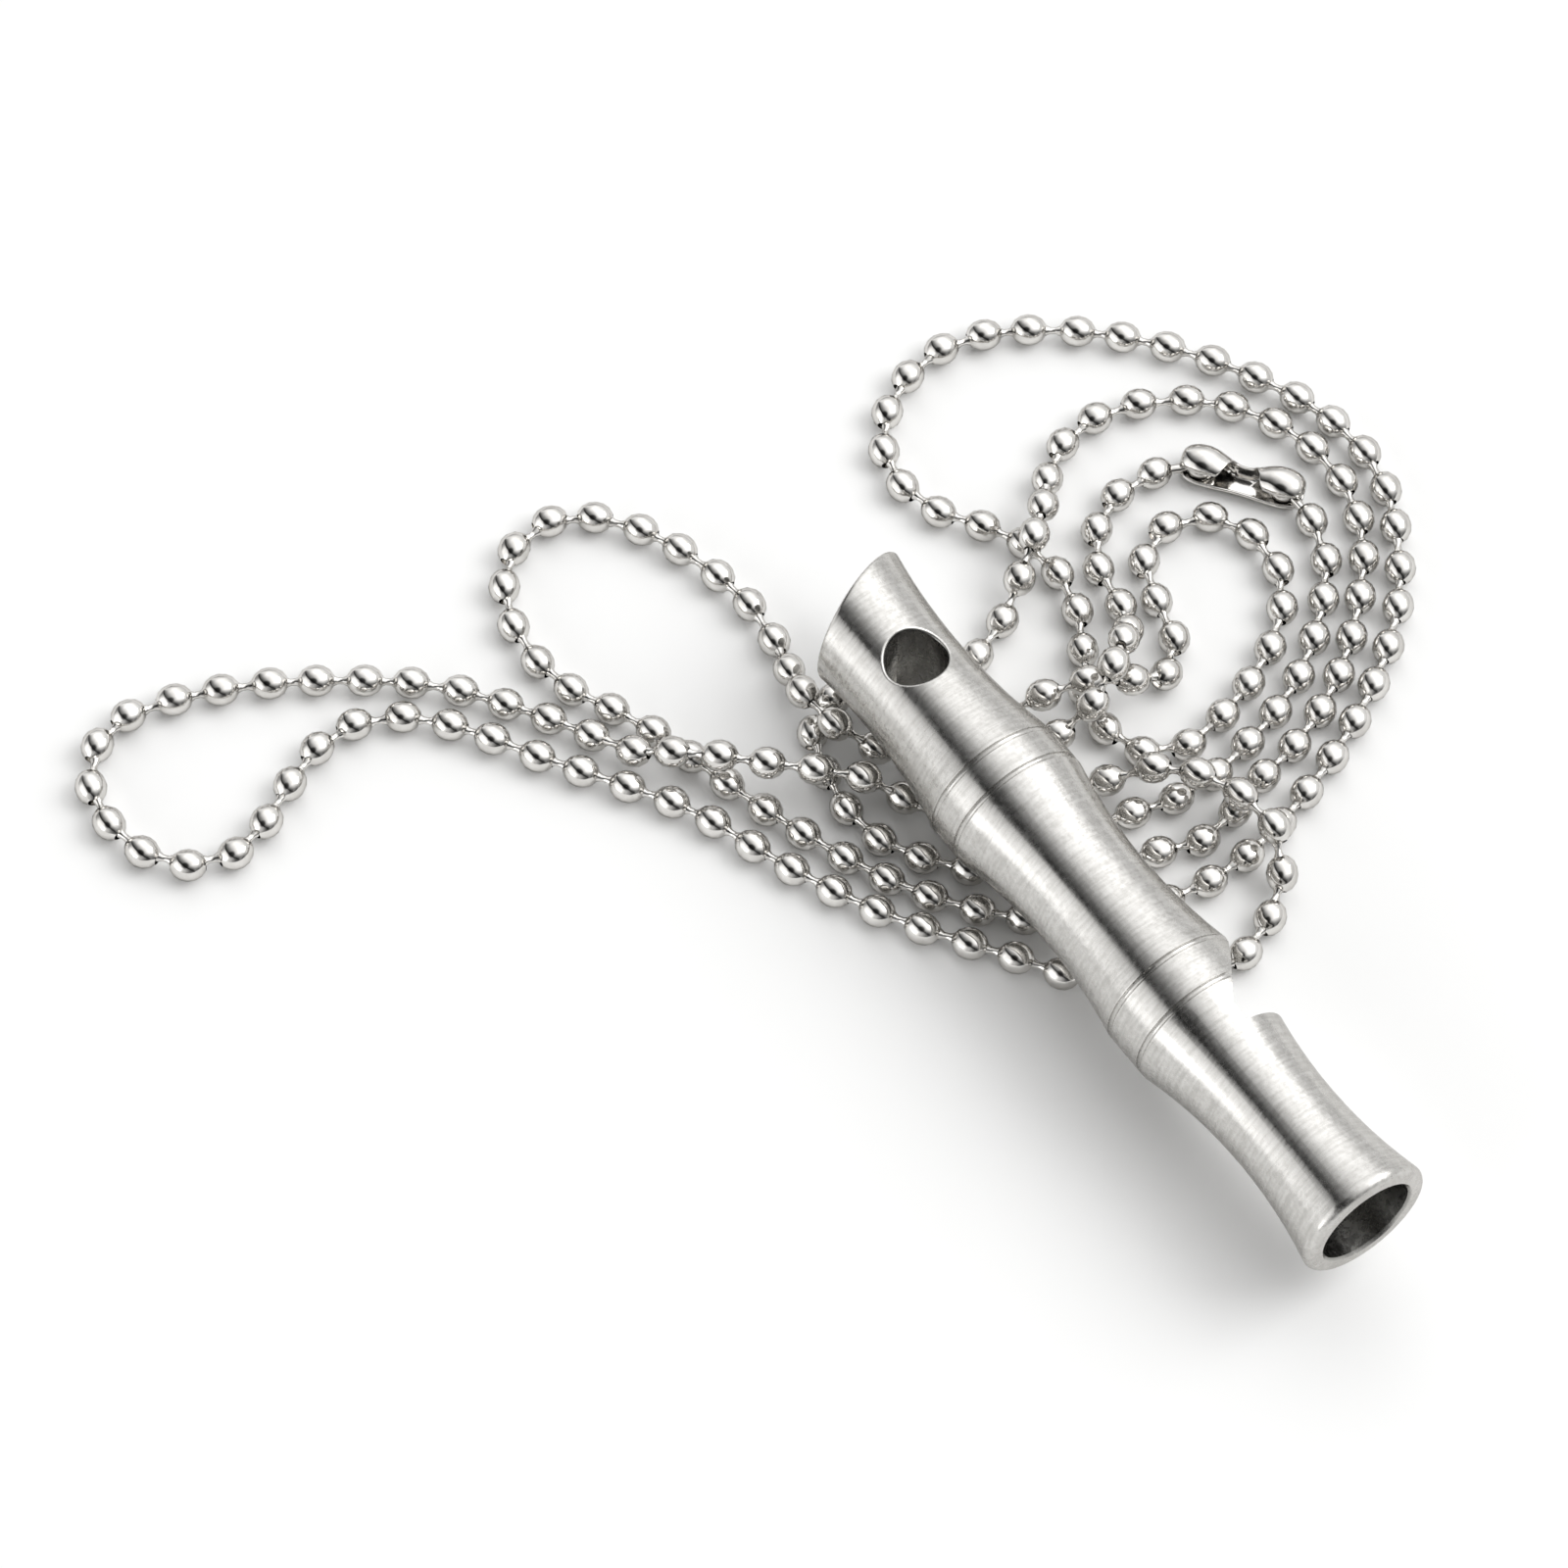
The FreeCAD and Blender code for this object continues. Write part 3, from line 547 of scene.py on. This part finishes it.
@dataclass
class Connector:
    """The folded sheet clasp: a trough with a hood over each end ball."""

    balls: tuple[str, ...] = tuple("end_bead_" + side.value for side in Side)
    links: tuple[str, ...] = tuple("end_link_" + side.value for side in Side)
    centre_height: float = 1.2 * MM
    lobe_radius: float = 1.58 * MM
    waist_radius: float = 0.85 * MM
    trough_radius: float = 1.50 * MM
    tip_radius: float = 0.62 * MM
    lobe_place: float = 3.05 * MM
    half_length: float = 4.75 * MM
    sheet: float = 0.20 * MM
    lowest: float = 0.03 * MM
    front_rim: float = math.radians(-84.0)
    hood_rim: float = math.radians(238.0)
    back_rim: float = math.radians(100.0)
    notch_half: float = 0.55 * MM
    notch_slope: float = 1.25 * MM
    trough_rise: float = math.radians(80.0)
    ball_place: float = 3.25 * MM
    ball_opening: float = 0.8 * MM
    stations: int = 48
    steps: int = 30

    def dress(self, plate: bpy.types.Material) -> list[str]:
        """Give the end balls and links their plate.

        Args:
            plate: the chain's finish.

        Returns:
            The names of the dressed pieces.
        """
        names = [*self.balls, *self.links]
        for node in names:
            set_only_material(frame["nodes"][node], plate)
        return names

    def build(self, plate: bpy.types.Material) -> bpy.types.Object:
        """Bend the clasp's sheet round the two end balls.

        Args:
            plate: the chain's finish.

        Returns:
            The finished piece.
        """
        left, right = (sum(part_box(ball), Vector()) / 2 for ball in self.balls)
        middle = (left + right) / 2
        along = Vector((right.x - left.x, right.y - left.y, 0.0)).normalized()
        front = Vector((along.y, -along.x, 0.0))
        work = bmesh.new()
        rows = [
            [
                work.verts.new(self._point(middle, along, front, reach, turn))
                for turn in self._turns(reach)
            ]
            for reach in self._reaches()
        ]
        for low, high in zip(rows, rows[1:]):
            for corner in range(self.steps):
                quad = (low[corner], low[corner + 1], high[corner + 1], high[corner])
                if not self._under_ball(quad, middle, along):
                    work.faces.new(quad)
        mesh = bpy.data.meshes.new("clasp")
        loose = [vertex for vertex in work.verts if not vertex.link_faces]
        bmesh.ops.delete(work, geom=loose, context="VERTS")
        work.to_mesh(mesh)
        work.free()
        mesh.shade_smooth()
        clasp = bpy.data.objects.new("clasp", mesh)
        bpy.context.scene.collection.objects.link(clasp)
        thicken = clasp.modifiers.new("sheet", "SOLIDIFY")
        thicken.thickness = self.sheet
        thicken.offset = -1.0
        thicken.use_quality_normals = True
        set_only_material(clasp, plate)
        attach(clasp, "chain")
        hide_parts("chain_connector")
        return clasp

    def _reaches(self) -> list[float]:
        """Place the stations along the clasp, closer together towards its tips."""
        return [
            self.half_length * math.sin(math.pi / 2 * (2 * step / self.stations - 1))
            for step in range(self.stations + 1)
        ]

    def _turns(self, reach: float) -> list[float]:
        """Spread the sheet's points from its front rim under, up and over the ball.

        Args:
            reach: the place along the clasp.

        Returns:
            The turns, from straight down towards the back.
        """
        share = ease((abs(reach) - self.notch_half) / self.notch_slope)
        last = self.back_rim + (self.hood_rim - self.back_rim) * share
        return [
            self.front_rim + (last - self.front_rim) * step / self.steps
            for step in range(self.steps + 1)
        ]

    def _radius(self, reach: float, turn: float) -> float:
        """Find how far the sheet stands from the clasp's middle line.

        Args:
            reach: the place along the clasp.
            turn: the turn from straight down towards the back.

        Returns:
            The radius there.
        """
        place = abs(reach)
        if place < self.lobe_place:
            swell = math.sin(math.pi / 2 * place / self.lobe_place) ** 2
            upper = ease(turn / self.trough_rise)
            waist = self.trough_radius + (self.waist_radius - self.trough_radius) * upper
            return waist + (self.lobe_radius - waist) * swell
        past = (place - self.lobe_place) / (self.half_length - self.lobe_place)
        rest = math.sqrt(max(1.0 - past * past, 0.0))
        return self.tip_radius + (self.lobe_radius - self.tip_radius) * rest

    def _point(
        self, middle: Vector, along: Vector, front: Vector, reach: float, turn: float
    ) -> Vector:
        """Find a point of the sheet.

        Args:
            middle: the clasp's middle.
            along: the way that it points.
            front: the way that its open side faces.
            reach: the place along it.
            turn: the turn from straight down towards the back.

        Returns:
            The point, never below the floor.
        """
        radius = self._radius(reach, turn)
        point = middle + along * reach - front * radius * math.sin(turn)
        point.z = max(self.centre_height - radius * math.cos(turn), self.lowest)
        return point

    def _under_ball(
        self, quad: Sequence[bmesh.types.BMVert], middle: Vector, along: Vector
    ) -> bool:
        """Tell whether a face lies where an end ball rests on the floor.

        Args:
            quad: the face's corners.
            middle: the clasp's middle.
            along: the way that it points.

        Returns:
            True where the sheet has its round opening.
        """
        centre = sum((corner.co for corner in quad), Vector()) / len(quad)
        if centre.z > self.centre_height / 2:
            return False
        reach = (centre - middle).dot(along)
        ball = middle + along * math.copysign(self.ball_place, reach)
        apart = Vector((centre.x - ball.x, centre.y - ball.y))
        return apart.length < self.ball_opening


@dataclass
class BallChain:
    """The loose chain: hollow balls joined by dumbbell links along one route."""

    ball_radius: float = 1.2 * MM
    ball_hole: float = 0.40 * MM
    ball_stretch: float = 1.16
    pitch: float = 3.5 * MM
    shift: float = 0.09 * MM
    link_radius: float = 0.27 * MM
    link_flare: float = 1.55
    link_end: float = 0.20
    link_shoulder: float = 0.14
    link_neck: float = 0.055
    lead: float = 4.9 * MM
    link_reach: float = 2.3 * MM
    lying: float = 1.2 * MM
    left_heading: float = math.radians(245.0)
    right_heading: float = math.radians(0.0)
    around: int = 14
    ball_rings: int = 6
    link_sides: int = 7
    seed: int = 7

    def route(self) -> list[Vector]:
        """List the chain's bends with its straight leads out of the connector.

        Returns:
            The bends in metres, from the left end to the right end.
        """
        bends = [
            Vector((p[0], p[1], p[2] if len(p) > 2 else self.lying / MM)) * MM
            for p in CHAIN_ROUTE
        ]
        left = self._leads(Side.LEFT, self.left_heading)
        right = self._leads(Side.RIGHT, self.right_heading)
        return left + bends + right[::-1]

    def _leads(self, side: Side, heading: float) -> list[Vector]:
        """Find the two points where the chain runs straight out of the connector.

        Args:
            side: which end of the connector.
            heading: the way that the chain leaves it.

        Returns:
            The chain's end and its first bend.
        """
        low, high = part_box("end_bead_" + side.value)
        middle = (low + high) / 2
        ball = Vector((middle.x, middle.y, self.lying))
        away = Vector((math.cos(heading), math.sin(heading), 0.0))
        return [ball + away * self.link_reach, ball + away * self.lead]

    def centreline(self) -> bpy.types.Object:
        """Draw the route as one smooth open spline.

        Returns:
            The curve object.
        """
        curve = bpy.data.curves.new("chain_centreline", "CURVE")
        curve.dimensions = "3D"
        spline = curve.splines.new("NURBS")
        points = self.route()
        spline.points.add(len(points) - 1)
        for knot, point in zip(spline.points, points):
            knot.co = (*point, 1.0)
        spline.order_u = 3
        spline.use_endpoint_u = True
        spline.resolution_u = 12
        line = bpy.data.objects.new("chain_centreline", curve)
        bpy.context.scene.collection.objects.link(line)
        return line

    def ball_mesh(self) -> bpy.types.Mesh:
        """Turn one hollow ball: a stretched sphere with a round hole at each end.

        Returns:
            The ball's mesh, its holes on X.
        """
        profile = []
        first = math.asin(self.ball_hole / self.ball_radius)
        for step in range(self.ball_rings + 1):
            turn = first + (math.pi - 2 * first) * step / self.ball_rings
            along = -math.cos(turn) * self.ball_radius * self.ball_stretch
            profile.append((along, math.sin(turn) * self.ball_radius))
        return turned_mesh("chain_ball", profile, self.around)

    def link_mesh(self) -> bpy.types.Mesh:
        """Turn one link, one unit long, that widens where it enters a ball.

        Returns:
            The link's mesh along X.
        """
        wide, narrow = self.link_radius * self.link_flare, self.link_radius
        half = [(self.link_neck, narrow), (self.link_shoulder, wide), (self.link_end, wide)]
        profile = [(-place, radius) for place, radius in reversed(half)] + half
        return turned_mesh("chain_link", profile, self.link_sides)

    def build(self, plate: bpy.types.Material) -> bpy.types.Object:
        """Args:
            plate: the chain's finish.

        Returns:
            The finished piece.
        """
        line = self.centreline()
        depsgraph = bpy.context.evaluated_depsgraph_get()
        traced = bpy.data.meshes.new_from_object(line.evaluated_get(depsgraph))
        bpy.data.meshes.remove(traced)
        ball = bpy.data.objects.new("chain_ball", self.ball_mesh())
        link = bpy.data.objects.new("chain_link", self.link_mesh())
        tree = ChainTree(self.ball_radius).build()
        modifier = line.modifiers.new("balls_and_links", "NODES")
        modifier.node_group = tree
        sockets = {
            item.name: item.identifier
            for item in tree.interface.items_tree
            if item.item_type == "SOCKET" and item.in_out == "INPUT"
        }
        values = {
            "Ball": ball,
            "Link": link,
            "Pitch": self.pitch,
            "Shift": self.shift,
            "Seed": self.seed,
            "Finish": plate,
        }
        for name, value in values.items():
            modifier[sockets[name]] = value
        depsgraph = bpy.context.evaluated_depsgraph_get()
        mesh = bpy.data.meshes.new_from_object(line.evaluated_get(depsgraph))
        line.modifiers.clear()
        chain = bpy.data.objects.new("beaded_chain", mesh)
        bpy.context.scene.collection.objects.link(chain)
        mesh.shade_smooth()
        for spare in (line, ball, link):
            bpy.data.objects.remove(spare)
        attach(chain, "chain")
        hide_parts("ball_chain")
        return chain


@dataclass
class ChainTree:
    """The Geometry Nodes tree that sets balls and links along a curve."""

    ball_radius: float

    def build(self) -> bpy.types.NodeTree:
        """Build the tree.

        Returns:
            The node group, with sockets for the ball, the link and their spacing.
        """
        tree = bpy.data.node_groups.new("balls_and_links", "GeometryNodeTree")
        self._sockets(tree)
        source = add_node(tree, "NodeGroupInput")
        line = self._even_points(tree, source)
        balls = self._balls(tree, source, line)
        links = self._links(tree, source, line)
        joined = add_node(tree, "GeometryNodeJoinGeometry")
        tree.links.new(balls, joined.inputs["Geometry"])
        tree.links.new(links, joined.inputs["Geometry"])
        real = add_node(tree, "GeometryNodeRealizeInstances")
        tree.links.new(joined.outputs["Geometry"], real.inputs["Geometry"])
        finish = add_node(tree, "GeometryNodeSetMaterial")
        tree.links.new(real.outputs["Geometry"], finish.inputs["Geometry"])
        tree.links.new(source.outputs["Finish"], finish.inputs["Material"])
        result = add_node(tree, "NodeGroupOutput")
        tree.links.new(finish.outputs["Geometry"], result.inputs["Geometry"])
        return tree

    def _sockets(self, tree: bpy.types.NodeTree) -> None:
        """Args:
            tree: the node group.
        """
        inputs = {
            "Geometry": "NodeSocketGeometry",
            "Ball": "NodeSocketObject",
            "Link": "NodeSocketObject",
            "Pitch": "NodeSocketFloat",
            "Shift": "NodeSocketFloat",
            "Seed": "NodeSocketInt",
            "Finish": "NodeSocketMaterial",
        }
        for name, kind in inputs.items():
            tree.interface.new_socket(name, in_out="INPUT", socket_type=kind)
        tree.interface.new_socket("Geometry", in_out="OUTPUT", socket_type="NodeSocketGeometry")

    def _even_points(self, tree: bpy.types.NodeTree, source: bpy.types.Node) -> dict:
        """Space points along the curve, one to each ball.

        Args:
            tree: the node group.
            source: its input node.

        Returns:
            The spaced mesh line and the captured tangent, as sockets.
        """
        length = add_node(tree, "GeometryNodeCurveLength")
        tree.links.new(source.outputs["Geometry"], length.inputs["Curve"])
        last = combine(tree, "SUBTRACT", length.outputs["Length"], self.ball_radius)
        trim = add_node(tree, "GeometryNodeTrimCurve", mode="LENGTH")
        trim.inputs[4].default_value = self.ball_radius
        tree.links.new(source.outputs["Geometry"], trim.inputs["Curve"])
        tree.links.new(last, trim.inputs[5])
        share = combine(tree, "DIVIDE", last, source.outputs["Pitch"])
        whole = combine(tree, "ROUND", share)
        spaced = add_node(tree, "GeometryNodeResampleCurve", mode="COUNT")
        tree.links.new(trim.outputs["Curve"], spaced.inputs["Curve"])
        tree.links.new(whole, spaced.inputs["Count"])
        tangent = add_node(tree, "GeometryNodeInputTangent")
        keep = add_node(tree, "GeometryNodeCaptureAttribute", domain="POINT")
        keep.capture_items.new("VECTOR", "Along")
        tree.links.new(spaced.outputs["Curve"], keep.inputs["Geometry"])
        tree.links.new(tangent.outputs["Tangent"], keep.inputs["Along"])
        line = add_node(tree, "GeometryNodeCurveToMesh")
        tree.links.new(keep.outputs["Geometry"], line.inputs["Curve"])
        return {"line": self._nudged(tree, source, line, keep), "along": keep.outputs["Along"]}

    def _nudged(
        self,
        tree: bpy.types.NodeTree,
        source: bpy.types.Node,
        line: bpy.types.Node,
        keep: bpy.types.Node,
    ) -> bpy.types.NodeSocket:
        """Let each ball stand a little nearer one neighbour than the other.

        Args:
            tree: the node group.
            source: its input node.
            line: the node that makes the line of points.
            keep: the node that holds the tangent.

        Returns:
            The moved line's socket.
        """
        back = combine(tree, "MULTIPLY", source.outputs["Shift"], -1.0)
        amount = add_node(tree, "FunctionNodeRandomValue", data_type="FLOAT")
        tree.links.new(back, amount.inputs[2])
        tree.links.new(source.outputs["Shift"], amount.inputs[3])
        tree.links.new(source.outputs["Seed"], amount.inputs["Seed"])
        step = add_node(tree, "ShaderNodeVectorMath", operation="SCALE")
        tree.links.new(keep.outputs["Along"], step.inputs["Vector"])
        tree.links.new(amount.outputs[1], step.inputs["Scale"])
        moved = add_node(tree, "GeometryNodeSetPosition")
        tree.links.new(line.outputs["Mesh"], moved.inputs["Geometry"])
        tree.links.new(step.outputs["Vector"], moved.inputs["Offset"])
        return moved.outputs["Geometry"]

    def _balls(
        self, tree: bpy.types.NodeTree, source: bpy.types.Node, line: dict
    ) -> bpy.types.NodeSocket:
        """Set a ball on each point, its holes along the chain.

        Args:
            tree: the node group.
            source: its input node.
            line: the sockets of the spaced line.

        Returns:
            The balls' socket.
        """
        shape = add_node(tree, "GeometryNodeObjectInfo")
        tree.links.new(source.outputs["Ball"], shape.inputs["Object"])
        aim = add_node(tree, "FunctionNodeAlignRotationToVector", axis="X")
        tree.links.new(line["along"], aim.inputs["Vector"])
        placed = add_node(tree, "GeometryNodeInstanceOnPoints")
        tree.links.new(line["line"], placed.inputs["Points"])
        tree.links.new(shape.outputs["Geometry"], placed.inputs["Instance"])
        tree.links.new(aim.outputs["Rotation"], placed.inputs["Rotation"])
        return placed.outputs["Instances"]

    def _links(
        self, tree: bpy.types.NodeTree, source: bpy.types.Node, line: dict
    ) -> bpy.types.NodeSocket:
        """Stretch a link between each two neighbouring balls.

        Args:
            tree: the node group.
            source: its input node.
            line: the sockets of the spaced line.

        Returns:
            The links' socket.
        """
        ends = add_node(tree, "GeometryNodeInputMeshEdgeVertices")
        reach = add_node(tree, "ShaderNodeVectorMath", operation="SUBTRACT")
        tree.links.new(ends.outputs["Position 2"], reach.inputs[0])
        tree.links.new(ends.outputs["Position 1"], reach.inputs[1])
        keep = add_node(tree, "GeometryNodeCaptureAttribute", domain="EDGE")
        keep.capture_items.new("VECTOR", "Reach")
        tree.links.new(line["line"], keep.inputs["Geometry"])
        tree.links.new(reach.outputs["Vector"], keep.inputs["Reach"])
        middles = add_node(tree, "GeometryNodeMeshToPoints", mode="EDGES")
        tree.links.new(keep.outputs["Geometry"], middles.inputs["Mesh"])
        long = add_node(tree, "ShaderNodeVectorMath", operation="LENGTH")
        tree.links.new(keep.outputs["Reach"], long.inputs[0])
        scale = add_node(tree, "ShaderNodeCombineXYZ")
        tree.links.new(long.outputs["Value"], scale.inputs["X"])
        scale.inputs["Y"].default_value = 1.0
        scale.inputs["Z"].default_value = 1.0
        shape = add_node(tree, "GeometryNodeObjectInfo")
        tree.links.new(source.outputs["Link"], shape.inputs["Object"])
        aim = add_node(tree, "FunctionNodeAlignRotationToVector", axis="X")
        tree.links.new(keep.outputs["Reach"], aim.inputs["Vector"])
        placed = add_node(tree, "GeometryNodeInstanceOnPoints")
        tree.links.new(middles.outputs["Points"], placed.inputs["Points"])
        tree.links.new(shape.outputs["Geometry"], placed.inputs["Instance"])
        tree.links.new(aim.outputs["Rotation"], placed.inputs["Rotation"])
        tree.links.new(scale.outputs["Vector"], placed.inputs["Scale"])
        return placed.outputs["Instances"]


def turned_mesh(name: str, profile: Sequence[tuple[float, float]], around: int) -> bpy.types.Mesh:
    """Turn an outline round X into an open-ended skin.

    Args:
        name: the mesh's name.
        profile: (place along X, radius) pairs.
        around: how many faces go round.

    Returns:
        The mesh, its faces outwards.
    """
    rings = [
        [
            (x, radius * math.cos(turn), radius * math.sin(turn))
            for turn in (2 * math.pi * side / around for side in range(around))
        ]
        for x, radius in profile
    ]
    vertices = [point for ring in rings for point in ring]
    faces = []
    for row in range(len(rings) - 1):
        for side in range(around):
            after = (side + 1) % around
            low, high = row * around, (row + 1) * around
            faces.append((low + side, high + side, high + after, low + after))
    mesh = bpy.data.meshes.new(name)
    mesh.from_pydata(vertices, [], faces)
    mesh.shade_smooth()
    return mesh


@dataclass(frozen=True)
class Lamp:
    """One soft rectangular lamp, aimed at the object."""

    name: str
    place: tuple[float, float, float]
    size: tuple[float, float]
    watts: float

    def build(self, target: Vector) -> bpy.types.Object:
        """Hang the lamp.

        Args:
            target: the point that it faces.

        Returns:
            The lamp object.
        """
        data = bpy.data.lights.new(self.name, "AREA")
        data.shape = "RECTANGLE"
        data.size, data.size_y = self.size
        data.energy = self.watts
        lamp = bpy.data.objects.new(self.name, data)
        lamp.location = self.place
        lamp.rotation_euler = (target - lamp.location).to_track_quat("-Z", "Y").to_euler()
        bpy.context.scene.collection.objects.link(lamp)
        return lamp


@dataclass
class Studio:
    """The floor, the light round the object and the camera."""

    floor_size: float = 3.0
    target: tuple[float, float, float] = (-0.0248, -0.02558, 0.0)
    towards_camera: tuple[float, float, float] = (0.4194, -0.2979, 0.8575)
    camera_distance: float = 0.56
    lens: float = 176.4
    sensor: float = 36.0
    nearest: float = 0.01
    brightest: float = 1.90
    gap_side: tuple[float, float, float] = (0.28, -0.50, 0.82)
    gap_reach: tuple[float, float] = (0.905, 0.97)
    gap_tone: float = 0.14
    near_panel: tuple[float, float] = (math.radians(41.0), math.radians(46.0))
    near_left: tuple[float, float] = (-0.85, -0.50)
    near_right: tuple[float, float] = (0.22, 0.50)
    near_ends: float = 0.42
    left_end: tuple[float, float] = (-0.90, -0.62)
    right_end: tuple[float, float] = (0.60, 0.92)
    end_tones: tuple[float, float] = (0.62, 0.16)

    def build(self) -> None:
        """Set up everything that isn't part of the object."""
        bpy.context.scene.view_settings.view_transform = "Standard"
        self._floor()
        self._sky()
        aim = Vector(self.target)
        for lamp in self._lamps():
            lamp.build(aim)
        self._camera()

    def _floor(self) -> None:
        """Lay the floor under the object."""
        mesh = bpy.data.meshes.new("floor")
        half = self.floor_size / 2
        corners = [(-half, -half, 0), (half, -half, 0), (half, half, 0), (-half, half, 0)]
        mesh.from_pydata(corners, [], [(0, 1, 2, 3)])
        floor = bpy.data.objects.new("floor", mesh)
        bpy.context.scene.collection.objects.link(floor)
        set_only_material(floor, PaleFloor().build())

    def _panels(self) -> list[tuple[float, float]]:
        """List the light tent's tones by their angle over the whistle.

        Returns:
            (angle, tone) pairs, from the far side's horizon over the top to the near
            side's.  The dark stretch is the gap between the two white panels.
        """
        return [
            (-90.0, 0.42), (-74.0, 0.46), (-62.0, 0.55), (-50.0, 0.76), (-38.0, 0.90),
            (-24.0, 0.94), (-10.0, 0.80), (0.0, 0.60), (10.0, 0.36), (20.0, 0.17),
            (29.0, 0.07), (36.0, 0.015), (41.5, 0.01), (43.0, 0.42), (52.0, 0.68),
            (64.0, 0.84), (78.0, 0.86), (90.0, 0.72),
        ]

    def _sky(self) -> None:
        """Surround the object with a white tent that is open along one gap."""
        world = bpy.data.worlds.new("light_tent")
        bpy.context.scene.world = world
        world.use_nodes = True
        tree = world.node_tree
        back = tree.nodes["Background"]
        back.inputs["Strength"].default_value = self.brightest
        place = add_node(tree, "ShaderNodeTexCoord")
        axes = add_node(tree, "ShaderNodeSeparateXYZ")
        tree.links.new(place.outputs["Generated"], axes.inputs["Vector"])
        across = combine(tree, "MULTIPLY", axes.outputs["Y"], -1.0)
        angle = combine(tree, "ARCTAN2", across, axes.outputs["Z"])
        toward_gap = add_node(tree, "ShaderNodeVectorMath", operation="DOT_PRODUCT")
        toward_gap.inputs[1].default_value = Vector(self.gap_side).normalized()
        tree.links.new(place.outputs["Generated"], toward_gap.inputs[0])
        left, right = self.end_tones
        dimmed = spread(tree, toward_gap.outputs["Value"], self.gap_reach, (1.0, self.gap_tone))
        for end in (
            spread(tree, axes.outputs["X"], self.left_end, (left, 1.0)),
            spread(tree, axes.outputs["X"], self.right_end, (1.0, right)),
            self._near_panel(tree, angle, axes),
        ):
            dimmed = combine(tree, "MULTIPLY", dimmed, end)
        whole = add_node(tree, "ShaderNodeVectorMath", operation="SCALE")
        tree.links.new(self._tones(tree, angle), whole.inputs["Vector"])
        tree.links.new(dimmed, whole.inputs["Scale"])
        tree.links.new(whole.outputs["Vector"], back.inputs["Color"])

    def _tones(
        self, tree: bpy.types.NodeTree, angle: bpy.types.NodeSocket
    ) -> bpy.types.NodeSocket:
        """Turn the angle over the whistle into the tent's tone.

        Args:
            tree: the world's tree.
            angle: the angle over the whistle.

        Returns:
            The tone's socket.
        """
        quarter = math.pi / 2
        tones = add_node(tree, "ShaderNodeValToRGB")
        tree.links.new(spread(tree, angle, (-quarter, quarter), (0.0, 1.0)), tones.inputs["Fac"])
        panels = self._panels()
        first, last = panels[0][0], panels[-1][0]
        ramp = tones.color_ramp
        while len(ramp.elements) < len(panels):
            ramp.elements.new(1.0)
        for stop, (degrees, tone) in zip(ramp.elements, panels):
            stop.position = (degrees - first) / (last - first)
            stop.color = (tone, tone, tone, 1.0)
        return tones.outputs["Color"]

    def _near_panel(
        self, tree: bpy.types.NodeTree, angle: bpy.types.NodeSocket, axes: bpy.types.Node
    ) -> bpy.types.NodeSocket:
        """Dim the near side's panel past its two ends.

        Args:
            tree: the world's tree.
            angle: the angle over the whistle.
            axes: the node that splits the direction.

        Returns:
            The dimming, one wherever the far side's panel is.
        """
        near = spread(tree, angle, self.near_panel, (0.0, 1.0))
        left = spread(tree, axes.outputs["X"], self.near_left, (self.near_ends, 1.0))
        right = spread(tree, axes.outputs["X"], self.near_right, (1.0, self.near_ends))
        less = combine(tree, "SUBTRACT", combine(tree, "MULTIPLY", left, right), 1.0)
        return combine(tree, "MULTIPLY_ADD", near, less, 1.0)

    def _lamps(self) -> list[Lamp]:
        """List the lamps.

        Returns:
            A broad one from the far side and a smaller one from the near side.
        """
        return [
            Lamp("broad_far", (0.25, 0.52, 0.62), (0.60, 0.45), 2.4),
            Lamp("small_near", (0.02, -0.80, 0.20), (0.30, 0.22), 0.35),
        ]

    def _camera(self) -> None:
        """Set the camera above the object, looking down along its own direction."""
        data = bpy.data.cameras.new("camera")
        data.lens = self.lens
        data.sensor_width = self.sensor
        data.clip_start = self.nearest
        camera = bpy.data.objects.new("camera", data)
        towards = Vector(self.towards_camera).normalized()
        camera.location = Vector(self.target) + towards * self.camera_distance
        camera.rotation_euler = towards.to_track_quat("Z", "Y").to_euler()
        bpy.context.scene.collection.objects.link(camera)
        bpy.context.scene.camera = camera


def main() -> None:
    """Build the pieces in order and report each one."""
    logging.basicConfig(level=logging.INFO)
    plate = BrightNickel().build()
    for name in Whistle().dress():
        log.info("dressed %s", name)
    connector = Connector()
    for name in connector.dress(plate):
        log.info("dressed %s", name)
    clasp = connector.build(plate)
    log.info("built %s", clasp.name)
    chain = BallChain().build(plate)
    log.info("built %s", chain.name)
    Studio().build()


if __name__ == "__main__":
    main()
